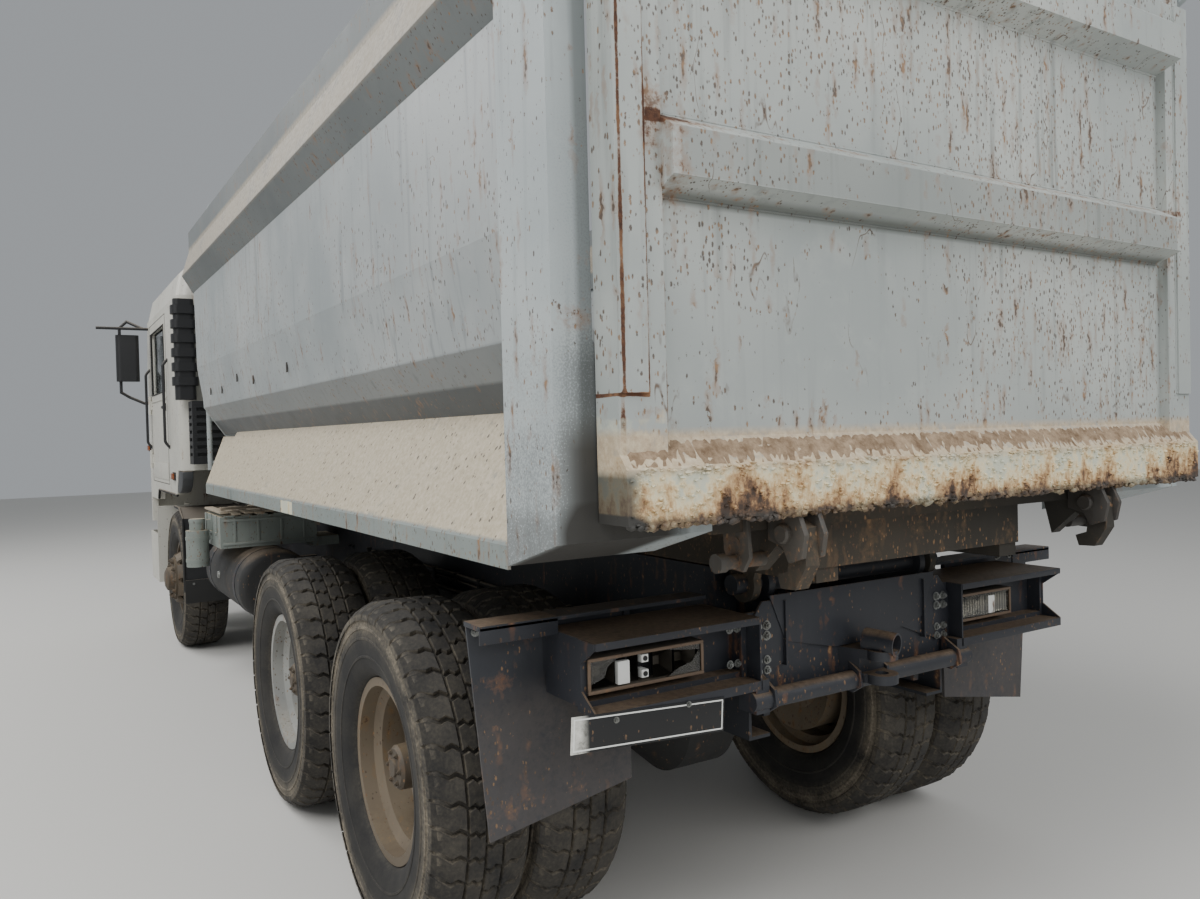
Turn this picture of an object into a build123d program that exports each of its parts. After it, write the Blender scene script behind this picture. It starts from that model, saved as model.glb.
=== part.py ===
from build123d import *
import os
from math import atan2, cos, degrees, radians, sin

os.makedirs("parts", exist_ok=True)

# Three-axle dump truck, in millimetres.
# +X is forward, +Y is the driver's side and +Z is up. The ground is z = 0, and the origin is on the
# ground at mid length, midway between the sides.

# Length of the vehicle, from the tailgate's rearmost rib to the bumper
rear_overhang = 1430.0
bogie_spacing = 1380.0
front_gap = 3920.0
front_overhang = 1400.0
overall_length = rear_overhang + bogie_spacing + front_gap + front_overhang
third_x = rear_overhang - overall_length / 2
second_x = third_x + bogie_spacing
front_x = second_x + front_gap
nose_x = overall_length / 2
overall_width = 2540.0

# Wheels: 13R22.5 tyres on 22.5 x 9 rims
tyre_radius = 556.0
tyre_width = 318.0
bead_radius = 286.0
rim_width = 228.0
flange_radius = 303.0
rim_plate = 12.0
twin_outer_y = 1090.0
twin_inner_y = 742.0
front_wheel_y = 1010.0
axle_z = tyre_radius
running_gap = 0.3
fit_gap = 0.05
seat_gap = 0.3

# Ladder frame
rail_outer_y = 425.0
rail_height = 300.0
rail_flange = 80.0
rail_plate = 10.0
rail_top_z = 1050.0
frame_rear_x = third_x - 930.0
frame_front_x = nose_x - 330.0
frame_length = frame_front_x - frame_rear_x
web_gap = 2 * (rail_outer_y - rail_plate)

# Tipping subframe and the bed's rear pivot
pivot_x = third_x - 880.0
pivot_z = 1200.0
pivot_radius = 30.0
subframe_top_z = 1240.0
subframe_width = 80.0
subframe_rear_x = pivot_x + 90.0
subframe_front_x = third_x + 3660.0

# Bed: a smooth tub with two bends in each side
bed_rear_x = third_x - 1284.0
bed_front_x = third_x + 3700.0
floor_z = 1460.0
floor_half = 824.0
seam_y, seam_z = 1035.0, 1702.0
lower_bend_y, lower_bend_z = 1100.0, 1796.0
upper_bend_y, upper_bend_z = 1160.0, 1888.0
wall_y, wall_z = 1200.0, 2150.0
tub_plate = 14.0
sill_z = subframe_top_z + 5.0
sill_y = rail_outer_y - subframe_width / 2
rail_low_z = 2650.0
rail_high_z = 3050.0
rail_face_y = overall_width / 2
skirt_y = 1240.0
skirt_low_z = 1342.0
skirt_lip = 56.0
skirt_plate = 8.0
skirt_front_x = third_x + 3200.0
post_low_z = 1350.0
post_rear_low_z = 1420.0
post_front_x = third_x - 1045.0
post_thick = 100.0
front_wall_top = 3250.0
front_wall_plate = 40.0

# Tailgate, hung from its top edge
gate_gap = 6.0
gate_front_x = bed_rear_x - gate_gap
gate_rear_x = third_x - 1379.0
gate_half = 1138.0
gate_low_z = 1460.0
post_top_z = 3130.0
gate_top_z = post_top_z - 120.0
gate_pin_z = post_top_z - 45.0
gate_pin_x = (gate_front_x + gate_rear_x) / 2
gate_pin_radius = 18.0
stile_inner_y = 1014.0

# Front hoist: a four-section telescopic cylinder behind the cab
hoist_foot_x = third_x + 4100.0
hoist_foot_z = 900.0
hoist_head_x = third_x + 4180.0
hoist_head_z = 2600.0
hoist_radii = [105.0, 85.0, 66.0, 48.0]
hoist_wall = 9.0
hoist_stick_out = 45.0

# Cab
cab_rear_x = third_x + 4520.0
cab_front_x = third_x + 6620.0
cab_half = 1200.0
cab_floor_z = 1450.0
cab_low_z = 1170.0
cab_nose_low_z = 950.0
cab_belt_z = 2050.0
cab_header_z = 2760.0
cab_roof_z = 3030.0
cab_wall = 50.0
cab_pivot_x = cab_front_x - 70.0
cab_pivot_z = 900.0
door_rear_x = third_x + 5230.0
door_front_x = third_x + 6290.0
door_low_z = 1330.0
door_top_z = 2700.0
door_gap = 6.0
door_hinge_x = door_front_x + door_gap / 2
door_hinge_y = cab_half + 14
door_barrel, door_pin = 13.0, 6.0
door_knuckles = [1480.0, 1960.0]
knuckle_tall, knuckle_end = 80.0, 40.0
arch_radius = 690.0


def write_part(name, part):
    part.label = name
    export_step(part, f"parts/{name}.step")


def bar(x, y, z):
    """One straight box between two corners given as (low, high) pairs."""
    with Locations(((x[0] + x[1]) / 2, (y[0] + y[1]) / 2, (z[0] + z[1]) / 2)):
        Box(x[1] - x[0], y[1] - y[0], z[1] - z[0])


def rod(start, end, radius, mode=Mode.ADD):
    """A round bar from one point to another."""
    line = Vector(*end) - Vector(*start)
    with BuildSketch(Plane(origin=start, z_dir=line)) as section:
        Circle(radius)
    extrude(section.sketch, amount=line.length, mode=mode)


# Chassis frame: two channel rails, crossmembers between their webs, and the hoist's cradle
# x from the third axle, depth, flange width, low z
crossmembers = [
    (-600.0, 200.0, 120.0, 800.0),
    (690.0, 240.0, 260.0, 780.0),
    (1900.0, 200.0, 120.0, 800.0),
    (2900.0, 200.0, 120.0, 800.0),
    (6150.0, 120.0, 140.0, 765.0),
]
cradle_low_z = 800.0
with BuildPart() as chassis_frame:
    for side in (-1, 1):
        with BuildSketch(Plane.YZ.offset(frame_rear_x)):
            with Locations((side * (rail_outer_y - rail_plate / 2), rail_top_z - rail_height / 2)):
                Rectangle(rail_plate, rail_height)
            flange_y = side * (rail_outer_y - rail_flange / 2)
            with Locations((flange_y, rail_top_z - rail_plate / 2),
                           (flange_y, rail_top_z - rail_height + rail_plate / 2)):
                Rectangle(rail_flange, rail_plate)
        extrude(amount=frame_length)
    for from_axle, depth, flange, low_z in crossmembers:
        with BuildSketch(Plane.XZ.offset(-web_gap / 2)):
            with Locations((third_x + from_axle, low_z + depth / 2)):
                Rectangle(rail_plate, depth)
            with Locations((third_x + from_axle, low_z + rail_plate / 2),
                           (third_x + from_axle, low_z + depth - rail_plate / 2)):
                Rectangle(flange, rail_plate)
        extrude(amount=web_gap)
    # Cradle for the foot of the hoist
    bar((hoist_foot_x - 90, hoist_foot_x + 90), (-web_gap / 2, web_gap / 2),
        (cradle_low_z, cradle_low_z + 14))
    for side in (-1, 1):
        ear_y = side * (hoist_radii[0] + 30)
        bar((hoist_foot_x - 70, hoist_foot_x + 70), (ear_y - 12, ear_y + 12),
            (cradle_low_z, hoist_foot_z + 55))
    with Locations((hoist_foot_x, 0, hoist_foot_z)):
        Cylinder(30, 2 * (hoist_radii[0] + 60), rotation=(90, 0, 0))
    # Plates that carry the pivot shaft, and the shaft
    for side in (-1, 1):
        with BuildSketch(Plane.XZ.offset(-side * 330 - 12)):
            with BuildLine():
                Polyline((pivot_x - 50, pivot_z - 10), (pivot_x - 20, rail_top_z - 250),
                         (third_x - 560, rail_top_z - 250), (pivot_x + 60, pivot_z - 10), close=True)
            make_face()
            with Locations((pivot_x, pivot_z)):
                Circle(58)
        extrude(amount=24)
        # Rear mounts of the cab
        bar((cab_rear_x + 60, cab_rear_x + 160), sorted((side * 370, side * rail_outer_y)),
            (rail_top_z, cab_floor_z - seat_gap))
    with Locations((pivot_x, 0, pivot_z)):
        Cylinder(pivot_radius, 2 * 440.0, rotation=(90, 0, 0))
write_part("chassis_frame", chassis_frame.part)

# Tipping subframe: two box members on the rails with short cross tubes
# x from the third axle
subframe_ties = [300.0, 1900.0, 3500.0]
with BuildPart() as tipping_subframe:
    for side in (-1, 1):
        y_mid = side * sill_y
        bar((subframe_rear_x, subframe_front_x), (y_mid - subframe_width / 2, y_mid + subframe_width / 2),
            (rail_top_z, subframe_top_z))
    for from_axle in subframe_ties:
        with Locations((third_x + from_axle, 0, (rail_top_z + subframe_top_z) / 2)):
            Box(100, 2 * (sill_y - subframe_width / 2), 110)
write_part("tipping_subframe", tipping_subframe.part)

# Front axle: a forged I-beam that drops between the springs and carries the kingpins
kingpin_y = 860.0
kingpin_radius = 24.0
beam_low_z = axle_z - 95
beam_depth = 105.0
spring_y = 400.0
spring_width = 90.0
beam_end_z = axle_z - 45
with BuildPart() as front_axle_beam:
    with BuildSketch(Plane.XZ.offset(-520)):
        with Locations((front_x, beam_low_z + beam_depth / 2)):
            Rectangle(24, beam_depth)
        with Locations((front_x, beam_low_z + 10), (front_x, beam_low_z + beam_depth - 10)):
            Rectangle(96, 20)
    extrude(amount=1040)
    for side in (-1, 1):
        with BuildSketch(Plane.YZ.offset(front_x - 40)):
            with BuildLine():
                Polyline((side * 515, beam_low_z), (side * 640, beam_low_z + 15),
                         (side * (kingpin_y - 60), beam_end_z),
                         (side * (kingpin_y - 20), beam_end_z),
                         (side * (kingpin_y - 20), beam_end_z + 90),
                         (side * 620, beam_low_z + beam_depth + 20),
                         (side * 515, beam_low_z + beam_depth), close=True)
            make_face()
        extrude(amount=80)
        with Locations((front_x, side * kingpin_y, axle_z)):
            Cylinder(48, 90)
            Cylinder(kingpin_radius + fit_gap, 90, mode=Mode.SUBTRACT)
write_part("front_axle_beam", front_axle_beam.part)

# Steering knuckles: a fork with the kingpin, and the stub that the front wheel turns on
hub_bore = 40.0
fork_gap = 46.0
stub_end_y = 1195.0
for name, side in (("left", 1), ("right", -1)):
    with BuildPart() as knuckle:
        with Locations((front_x, side * kingpin_y, axle_z)):
            Cylinder(kingpin_radius, 196)
        for level in (-1, 1):
            with Locations((front_x, side * kingpin_y, axle_z + level * (fork_gap + 26))):
                Cylinder(46, 50)
            bar((front_x - 40, front_x + 40), sorted((side * kingpin_y, side * (kingpin_y + 90))),
                sorted((axle_z + level * (fork_gap + 1), axle_z + level * (fork_gap + 51))))
        bar((front_x - 52, front_x + 52), sorted((side * (kingpin_y + 60), side * (kingpin_y + 92))),
            (axle_z - 97, axle_z + 97))
        rod((front_x, side * (kingpin_y + 90), axle_z), (front_x, side * stub_end_y, axle_z),
            hub_bore - running_gap)
        # Steering arm, back to the tie rod
        with BuildSketch(Plane.XY.offset(axle_z - fork_gap - 51)):
            with BuildLine():
                Polyline((front_x - 30, side * (kingpin_y + 30)), (front_x - 230, side * (kingpin_y - 50)),
                         (front_x - 230, side * (kingpin_y - 90)), (front_x - 30, side * (kingpin_y - 30)),
                         close=True)
            make_face()
            with Locations((front_x - 230, side * (kingpin_y - 70))):
                Circle(28)
        extrude(amount=24)
    write_part(f"knuckle_{name}", knuckle.part)

# Tie rod under the steering arms' ends
tie_x = front_x - 230
tie_y = kingpin_y - 70
tie_z = axle_z - fork_gap - 51 - 24
with BuildPart() as tie_rod:
    rod((tie_x, -tie_y, tie_z), (tie_x, tie_y, tie_z), 17)
    for side in (-1, 1):
        with Locations((tie_x, side * tie_y, tie_z)):
            Cylinder(24, 47)
write_part("tie_rod", tie_rod.part)

# Tyres: one revolved section for all, radius and half width from bead to tread
tyre_section = [
    (bead_radius, rim_width / 2 - rim_plate),
    (flange_radius + 1, rim_width / 2 - rim_plate),
    (flange_radius + 10, rim_width / 2 + rim_plate),
    (flange_radius + 70, tyre_width / 2 - 8),
    (flange_radius + 130, tyre_width / 2),
    (tyre_radius - 22, tyre_width / 2 - 14),
    (tyre_radius, tyre_width / 2 - 38),
]


def tyre_solid(centre_x, centre_y):
    with BuildSketch(Plane(origin=(centre_x, centre_y, axle_z))) as section:
        with BuildLine():
            Polyline(*tyre_section, *[(r, -w) for r, w in reversed(tyre_section)], close=True)
        make_face()
    revolve(section.sketch, axis=Axis((centre_x, centre_y, axle_z), (0, 1, 0)))


def rim_solid(centre_x, centre_y, disc_side):
    """A drop-centre rim whose disc lies disc_side * 165 mm from the rim's centre."""
    rim_half = rim_width / 2
    barrel = [
        (flange_radius, rim_half), (flange_radius, rim_half - rim_plate), (bead_radius, rim_half - rim_plate),
        (bead_radius, rim_half - 55), (bead_radius - 28, rim_half - 75), (bead_radius - 28, -rim_half + 75),
        (bead_radius, -rim_half + 55), (bead_radius, -rim_half + rim_plate),
        (flange_radius, -rim_half + rim_plate), (flange_radius, -rim_half),
        (bead_radius - rim_plate, -rim_half), (bead_radius - rim_plate, -rim_half + 50),
        (bead_radius - 40, -rim_half + 72), (bead_radius - 40, rim_half - 72),
        (bead_radius - rim_plate, rim_half - 50), (bead_radius - rim_plate, rim_half),
    ]
    centre = Plane(origin=(centre_x, centre_y, axle_z))
    disc_plate = 14.0
    disc_y = disc_side * disc_offset
    lip = disc_side * (rim_half - 60)
    disc = [
        (hub_bore_disc, disc_y), (190, disc_y), (bead_radius - 34, lip),
        (bead_radius - 34, lip - disc_side * 22),
        (190 - 10, disc_y - disc_side * disc_plate), (hub_bore_disc, disc_y - disc_side * disc_plate),
    ]
    for outline in (barrel, disc):
        with BuildSketch(centre) as section:
            with BuildLine():
                Polyline(*outline, close=True)
            make_face()
        revolve(section.sketch, axis=Axis((centre_x, centre_y, axle_z), (0, 1, 0)))
    face = Plane(origin=(centre_x, centre_y + disc_y, axle_z), x_dir=(1, 0, 0), z_dir=(0, 1, 0))
    with BuildSketch(face) as holes:
        with PolarLocations(212, 8):
            Circle(27)
    extrude(holes.sketch, amount=90, both=True, mode=Mode.SUBTRACT)


# Hub and drum
disc_offset = 165.0
hub_bore_disc = 110.0
spindle_radius = hub_bore - running_gap
drum_radius = 205.0


def turned(centre_x, outline):
    """A solid turned about an axle, from an outline of (radius, y) points."""
    with BuildSketch(Plane(origin=(centre_x, 0, axle_z))) as section:
        with BuildLine():
            Polyline(*outline, close=True)
        make_face()
    revolve(section.sketch, axis=Axis((centre_x, 0, axle_z), (0, 1, 0)))


rear_axles = [("middle", second_x), ("rear", third_x)]
for side_name, side in (("left", 1), ("right", -1)):
    for axle_name, axle_x in rear_axles:
        with BuildPart() as tyres:
            for wheel_y in (twin_outer_y, twin_inner_y):
                tyre_solid(axle_x, side * wheel_y)
        write_part(f"tyres_{axle_name}_{side_name}", tyres.part)
        with BuildPart() as rims:
            rim_solid(axle_x, side * twin_outer_y, -side)
            rim_solid(axle_x, side * twin_inner_y, side)
            turned(axle_x, [
                (hub_bore, side * 640), (115, side * 640), (drum_radius, side * 615),
                (drum_radius, side * 830), (170, side * 845), (170, side * 880),
                (hub_bore_disc + 60, side * 905),
                (hub_bore_disc + 60, side * 938), (hub_bore_disc - 2, side * 938),
                (hub_bore_disc - 8, side * 1085),
                (70, side * 1100), (0, side * 1100), (0, side * 1080), (hub_bore, side * 1080),
            ])
        write_part(f"rims_{axle_name}_{side_name}", rims.part)
    with BuildPart() as tyres:
        tyre_solid(front_x, side * front_wheel_y)
    write_part(f"tyre_front_{side_name}", tyres.part)
    with BuildPart() as rims:
        rim_solid(front_x, side * front_wheel_y, side)
        turned(front_x, [
            (hub_bore, side * 985), (drum_radius, side * 975), (drum_radius, side * 1130), (170, side * 1140),
            (170, side * 1190), (100, side * 1190), (92, side * 1235), (60, side * 1250), (0, side * 1250),
            (0, side * 1210), (hub_bore, side * 1210),
        ])
    write_part(f"rim_front_{side_name}", rims.part)

# Driven axles: a tapered housing with its round centre and pinion nose
with BuildPart() as rear_axle_housings:
    for axle_name, axle_x in rear_axles:
        with BuildSketch(Plane(origin=(axle_x, 0, axle_z))):
            with BuildLine():
                Polyline((0, -1070), (spindle_radius, -1070), (spindle_radius, -600), (82, -600), (96, -260),
                         (225, -110), (225, 110), (96, 260), (82, 600), (spindle_radius, 600),
                         (spindle_radius, 1070), (0, 1070), close=True)
            make_face()
        revolve(axis=Axis((axle_x, 0, axle_z), (0, 1, 0)))
        with BuildSketch(Plane.YZ.offset(axle_x + 150)):
            with Locations((0, axle_z + 30)):
                Circle(120)
        with BuildSketch(Plane.YZ.offset(axle_x + 400)):
            with Locations((0, axle_z + 50)):
                Circle(70)
        loft()
write_part("rear_axle_housings", rear_axle_housings.part)

# Leaf springs: semi-elliptic at the front, and the bogie's on a trunnion between the driven axles
front_spring_span = 1500.0
front_spring_sag = 90.0
front_spring_depth = 62.0
bogie_spring_y = 500.0
bogie_seat_z = axle_z + 88.3
trunnion_x = (third_x + second_x) / 2
trunnion_z = rail_top_z - rail_height - 45
bogie_crown_z = 790.0
spring_pad = 50.0
with BuildPart() as leaf_springs:
    for side in (-1, 1):
        spring_z = beam_low_z + beam_depth + seat_gap
        eye_z = spring_z + front_spring_sag
        with BuildSketch(Plane.XZ.offset(-side * spring_y - spring_width / 2)):
            with BuildLine():
                ThreePointArc((front_x - front_spring_span / 2, eye_z), (front_x, spring_z),
                              (front_x + front_spring_span / 2, eye_z))
                Line((front_x + front_spring_span / 2, eye_z), (front_x + front_spring_span / 2, eye_z + 16))
                ThreePointArc((front_x + front_spring_span / 2, eye_z + 16),
                              (front_x, spring_z + front_spring_depth),
                              (front_x - front_spring_span / 2, eye_z + 16))
                Line((front_x - front_spring_span / 2, eye_z + 16), (front_x - front_spring_span / 2, eye_z))
            make_face()
        extrude(amount=spring_width)
        for end in (-1, 1):
            eye_x = front_x + end * front_spring_span / 2
            with Locations((eye_x, side * spring_y, eye_z + 14)):
                Cylinder(34, spring_width, rotation=(90, 0, 0))
            hanger_top = rail_top_z - rail_height
            bar((eye_x - 45, eye_x + 45), sorted((side * (spring_y - 45), side * (spring_y - 57))),
                (eye_z - 20, hanger_top))
            bar((eye_x - 60, eye_x + 60), sorted((side * (spring_y - 57), side * (rail_outer_y - 5))),
                (hanger_top - 14, hanger_top))
        with BuildSketch(Plane.XZ.offset(-side * bogie_spring_y - spring_width / 2)):
            with BuildLine():
                ThreePointArc((third_x - 60, bogie_seat_z), (trunnion_x, trunnion_z + 55),
                              (second_x + 60, bogie_seat_z))
                Line((second_x + 60, bogie_seat_z), (second_x + 60, bogie_seat_z + 22))
                ThreePointArc((second_x + 60, bogie_seat_z + 22), (trunnion_x, bogie_crown_z + 60),
                              (third_x - 60, bogie_seat_z + 22))
                Line((third_x - 60, bogie_seat_z + 22), (third_x - 60, bogie_seat_z))
            make_face()
        extrude(amount=spring_width)
        for axle_name, axle_x in rear_axles:
            bar((axle_x - spring_pad, axle_x + spring_pad),
                sorted((side * (bogie_spring_y - 45), side * (bogie_spring_y + 45))),
                (bogie_seat_z, bogie_seat_z + spring_pad))
        bar((trunnion_x - 75, trunnion_x + 75),
            sorted((side * (bogie_spring_y - 45), side * (bogie_spring_y + 45))),
            (trunnion_z - 55, trunnion_z + 70))
        bar((trunnion_x - 150, trunnion_x + 150), sorted((side * 335, side * rail_outer_y)),
            (trunnion_z + 20, rail_top_z - rail_height))
    with Locations((trunnion_x, 0, trunnion_z)):
        Cylinder(44, 2 * bogie_spring_y, rotation=(90, 0, 0))
write_part("leaf_springs", leaf_springs.part)

# Propeller shafts with their joints and the centre bearing
gearbox_rear_x = third_x + 4320
shaft_z = 715.0
bearing_x = third_x + 2900
nose_z = axle_z + 50
shaft_runs = [
    ((gearbox_rear_x - 1, shaft_z), (bearing_x, shaft_z - 20), 48),
    ((bearing_x, shaft_z - 20), (second_x + 404, nose_z), 48),
    ((second_x - 225 - seat_gap, axle_z + 34), (third_x + 400 + seat_gap, axle_z + 34), 34),
]
with BuildPart() as prop_shafts:
    for (x1, z1), (x2, z2), radius in shaft_runs:
        rod((x1, 0, z1), (x2, 0, z2), radius)
    bar((bearing_x - 35, bearing_x + 35), (-85, 85), (shaft_z - 85, 800))
write_part("prop_shafts", prop_shafts.part)

# Engine and gearbox as one plain block on four feet, and the radiator on the front crossmember
engine_rear_x, engine_front_x = third_x + 4760, third_x + 5860
radiator_x = third_x + 6150
with BuildPart() as engine:
    bar((engine_rear_x, engine_front_x), (-330, 330), (640, 1380))
    fillet(engine.edges().filter_by(Axis.X), 60)
    bar((gearbox_rear_x, engine_rear_x), (-190, 190), (620, 1000))
    for foot_x in (engine_rear_x + 260, engine_front_x - 220):
        bar((foot_x - 60, foot_x + 60), (-rail_outer_y + rail_plate, rail_outer_y - rail_plate), (800, 860))
    bar((radiator_x - 40, radiator_x + 40), (-340, 340), (885, 1390))
write_part("engine", engine.part)

# Tanks: a round one under the battery box on the left, and the flat-sided fuel tank on the right
with BuildPart() as tanks:
    with BuildSketch(Plane.YZ.offset(third_x + 2760)):
        with Locations((925, 790)):
            RectangleRounded(430, 420, 200)
    extrude(amount=1230)
    fillet(tanks.edges().filter_by(Plane.YZ), 45)
    with BuildSketch(Plane.YZ.offset(third_x + 2420)):
        with Locations((-845, 820)):
            RectangleRounded(640, 560, 90)
    extrude(amount=1500)
    for strap_x, side, inner in ((2950, 1, 715), (3800, 1, 715), (2650, -1, 530), (3700, -1, 530)):
        bar((third_x + strap_x - 30, third_x + strap_x + 30), sorted((side * rail_outer_y, side * inner)),
            (770, 830))
write_part("tanks", tanks.part)

# Battery box above the round tank, with the slats of its cover, and the air dryer's canister
battery_x = third_x + 3080
battery_low_z = 1001.0
battery_top_z = 1195.0
with BuildPart() as battery_box:
    bar((battery_x, battery_x + 560), (600, 1185), (battery_low_z, battery_top_z))
    for slat in range(6):
        slat_y = 640 + slat * 98
        bar((battery_x - 12, battery_x + 575), (slat_y - 30, slat_y + 30), (battery_top_z, battery_top_z + 9))
    bar((battery_x + 120, battery_x + 440), (rail_outer_y, 600), (battery_low_z - 40, battery_low_z + 20))
    bar((battery_x + 300, battery_x + 340), (1185, 1215), (1035, 1165))
    with Locations((battery_x + 320, 1270, 985)):
        Cylinder(68, 230)
    with Locations((battery_x + 320, 1270, 1120)):
        Cylinder(45, 90)
write_part("battery_box", battery_box.part)

# Air reservoirs across the frame, behind the cradle
with BuildPart() as air_tanks:
    for from_axle in (2330, 2620):
        with Locations((third_x + from_axle, 0, 905)):
            Cylinder(118, web_gap - 130, rotation=(90, 0, 0))
        for side in (-1, 1):
            bar((third_x + from_axle - 25, third_x + from_axle + 25),
                sorted((side * (web_gap / 2 - 66), side * web_gap / 2)), (880, 930))
write_part("air_tanks", air_tanks.part)

# Silencer on the right with its pipe from the engine
silencer_y, silencer_z = -790.0, 860.0
with BuildPart() as exhaust:
    with BuildSketch(Plane.YZ.offset(third_x + 4020)):
        with Locations((silencer_y, silencer_z)):
            Circle(170)
    extrude(amount=430)
    rod((third_x + 4240, silencer_y + 160, silencer_z), (third_x + 4240, -rail_outer_y, silencer_z), 38)
    rod((third_x + 4040, silencer_y, silencer_z - 160), (third_x + 4040, silencer_y, 560), 50)
write_part("exhaust", exhaust.part)

# Intake housing behind the cab on the left, with slots in its side and rear faces
louvre_x = third_x + 4290
louvre_top_z, louvre_low_z = 1960.0, 1500.0
with BuildPart() as air_cleaner:
    bar((louvre_x, louvre_x + 170), (760, 1150), (louvre_low_z, louvre_top_z))
    for slot in range(7):
        slot_z = louvre_top_z - 60 - slot * 55
        with Locations((louvre_x, 955, slot_z)):
            Box(44, 330, 24, mode=Mode.SUBTRACT)
        with Locations((louvre_x + 92, 1150, slot_z)):
            Box(110, 44, 24, mode=Mode.SUBTRACT)
    bar((louvre_x + 20, louvre_x + 110), (rail_outer_y - 80, 850), (rail_top_z + 370, louvre_low_z))
    bar((louvre_x + 20, louvre_x + 110), (rail_outer_y - 80, rail_outer_y), (rail_top_z, rail_top_z + 370))
write_part("air_cleaner", air_cleaner.part)

# Rear crossbeam: the frame's end plate with the towing jaw, the under-run tube and the lamp hoods
end_plate = 15.0
jaw_x = frame_rear_x - 120
jaw_z = 930.0
jaw_pin_radius = 20.0
hood_rear_x = third_x - 935
hood_front_x = third_x - 740
hood_inner_y, hood_outer_y = 440.0, 985.0
hood_low_z, hood_top_z = 945.0, 1125.0
lamp_low_z, lamp_top_z = 978.0, 1072.0
lamp_inner_y, lamp_outer_y = 600.0, 950.0
lamp_depth = 60.0
with BuildPart() as rear_crossbeam:
    bar((frame_rear_x - end_plate, frame_rear_x), (-hood_inner_y - 20, hood_inner_y + 20), (850, hood_top_z))
    with BuildSketch(Plane.XY.offset(jaw_z - 50)):
        with BuildLine():
            Polyline((frame_rear_x - end_plate, -75), (jaw_x, -40), (jaw_x, 40),
                     (frame_rear_x - end_plate, 75), close=True)
        make_face()
        with Locations((jaw_x, 0)):
            Circle(48)
    extrude(amount=100)
    with Locations((jaw_x, 0, jaw_z)):
        Cylinder(jaw_pin_radius, 120, mode=Mode.SUBTRACT)
        with Locations((-20, 0, 0)):
            Box(120, 160, 44, mode=Mode.SUBTRACT)
    with Locations((frame_rear_x - end_plate - 45, 0, 885)):
        Cylinder(28, 2 * hood_inner_y + 60, rotation=(90, 0, 0))
    for side in (-1, 1):
        bar((frame_rear_x - end_plate - 60, frame_rear_x - end_plate),
            sorted((side * (hood_inner_y - 30), side * (hood_inner_y + 20))), (850, 945))
        y_pair = sorted((side * hood_inner_y, side * hood_outer_y))
        with Locations(((hood_rear_x + hood_front_x) / 2, side * (hood_inner_y + hood_outer_y) / 2,
                        (hood_low_z + hood_top_z) / 2)):
            Box(hood_front_x - hood_rear_x, hood_outer_y - hood_inner_y, hood_top_z - hood_low_z)
        with Locations((hood_rear_x + 25, side * (hood_inner_y + hood_outer_y) / 2,
                        (hood_low_z + hood_top_z) / 2)):
            Box(50, hood_outer_y - hood_inner_y - 30, hood_top_z - hood_low_z - 30, mode=Mode.SUBTRACT)
        bar((hood_rear_x - 70, hood_rear_x), y_pair, (hood_top_z - 8, hood_top_z))
        bar((hood_rear_x - 70, hood_rear_x + 25), y_pair, (hood_low_z - 12, hood_low_z))
write_part("rear_crossbeam", rear_crossbeam.part)

with BuildPart() as tail_lamps:
    for side in (-1, 1):
        bar((hood_rear_x - lamp_depth + 50, hood_rear_x + 50),
            sorted((side * lamp_inner_y, side * lamp_outer_y)),
            (lamp_low_z, lamp_top_z))
    fillet(tail_lamps.edges().filter_by(Axis.X), 8)
write_part("tail_lamps", tail_lamps.part)

# Mud flaps behind the third axle, each under a folded bracket
flap_x = third_x - 722
flap_plate = 8.0
flap_outer_y, flap_inner_y = 1212.0, 700.0
flap_top_z, flap_outer_low_z, flap_inner_low_z = 1165.0, 562.0, 640.0
with BuildPart() as mud_flaps:
    for side in (-1, 1):
        with BuildSketch(Plane.YZ.offset(flap_x)):
            with BuildLine():
                Polyline((side * flap_inner_y, flap_top_z), (side * flap_outer_y, flap_top_z),
                         (side * (flap_outer_y - 55), flap_outer_low_z),
                         (side * flap_inner_y, flap_inner_low_z),
                         close=True)
            make_face()
        extrude(amount=flap_plate)
        bar((flap_x - 90, flap_x), sorted((side * (hood_inner_y + 40), side * flap_outer_y)),
            (flap_top_z - 10, flap_top_z))
        bar((flap_x - 18, flap_x), sorted((side * rail_outer_y, side * hood_outer_y)), (1000, 1100))
write_part("mud_flaps", mud_flaps.part)

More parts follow.
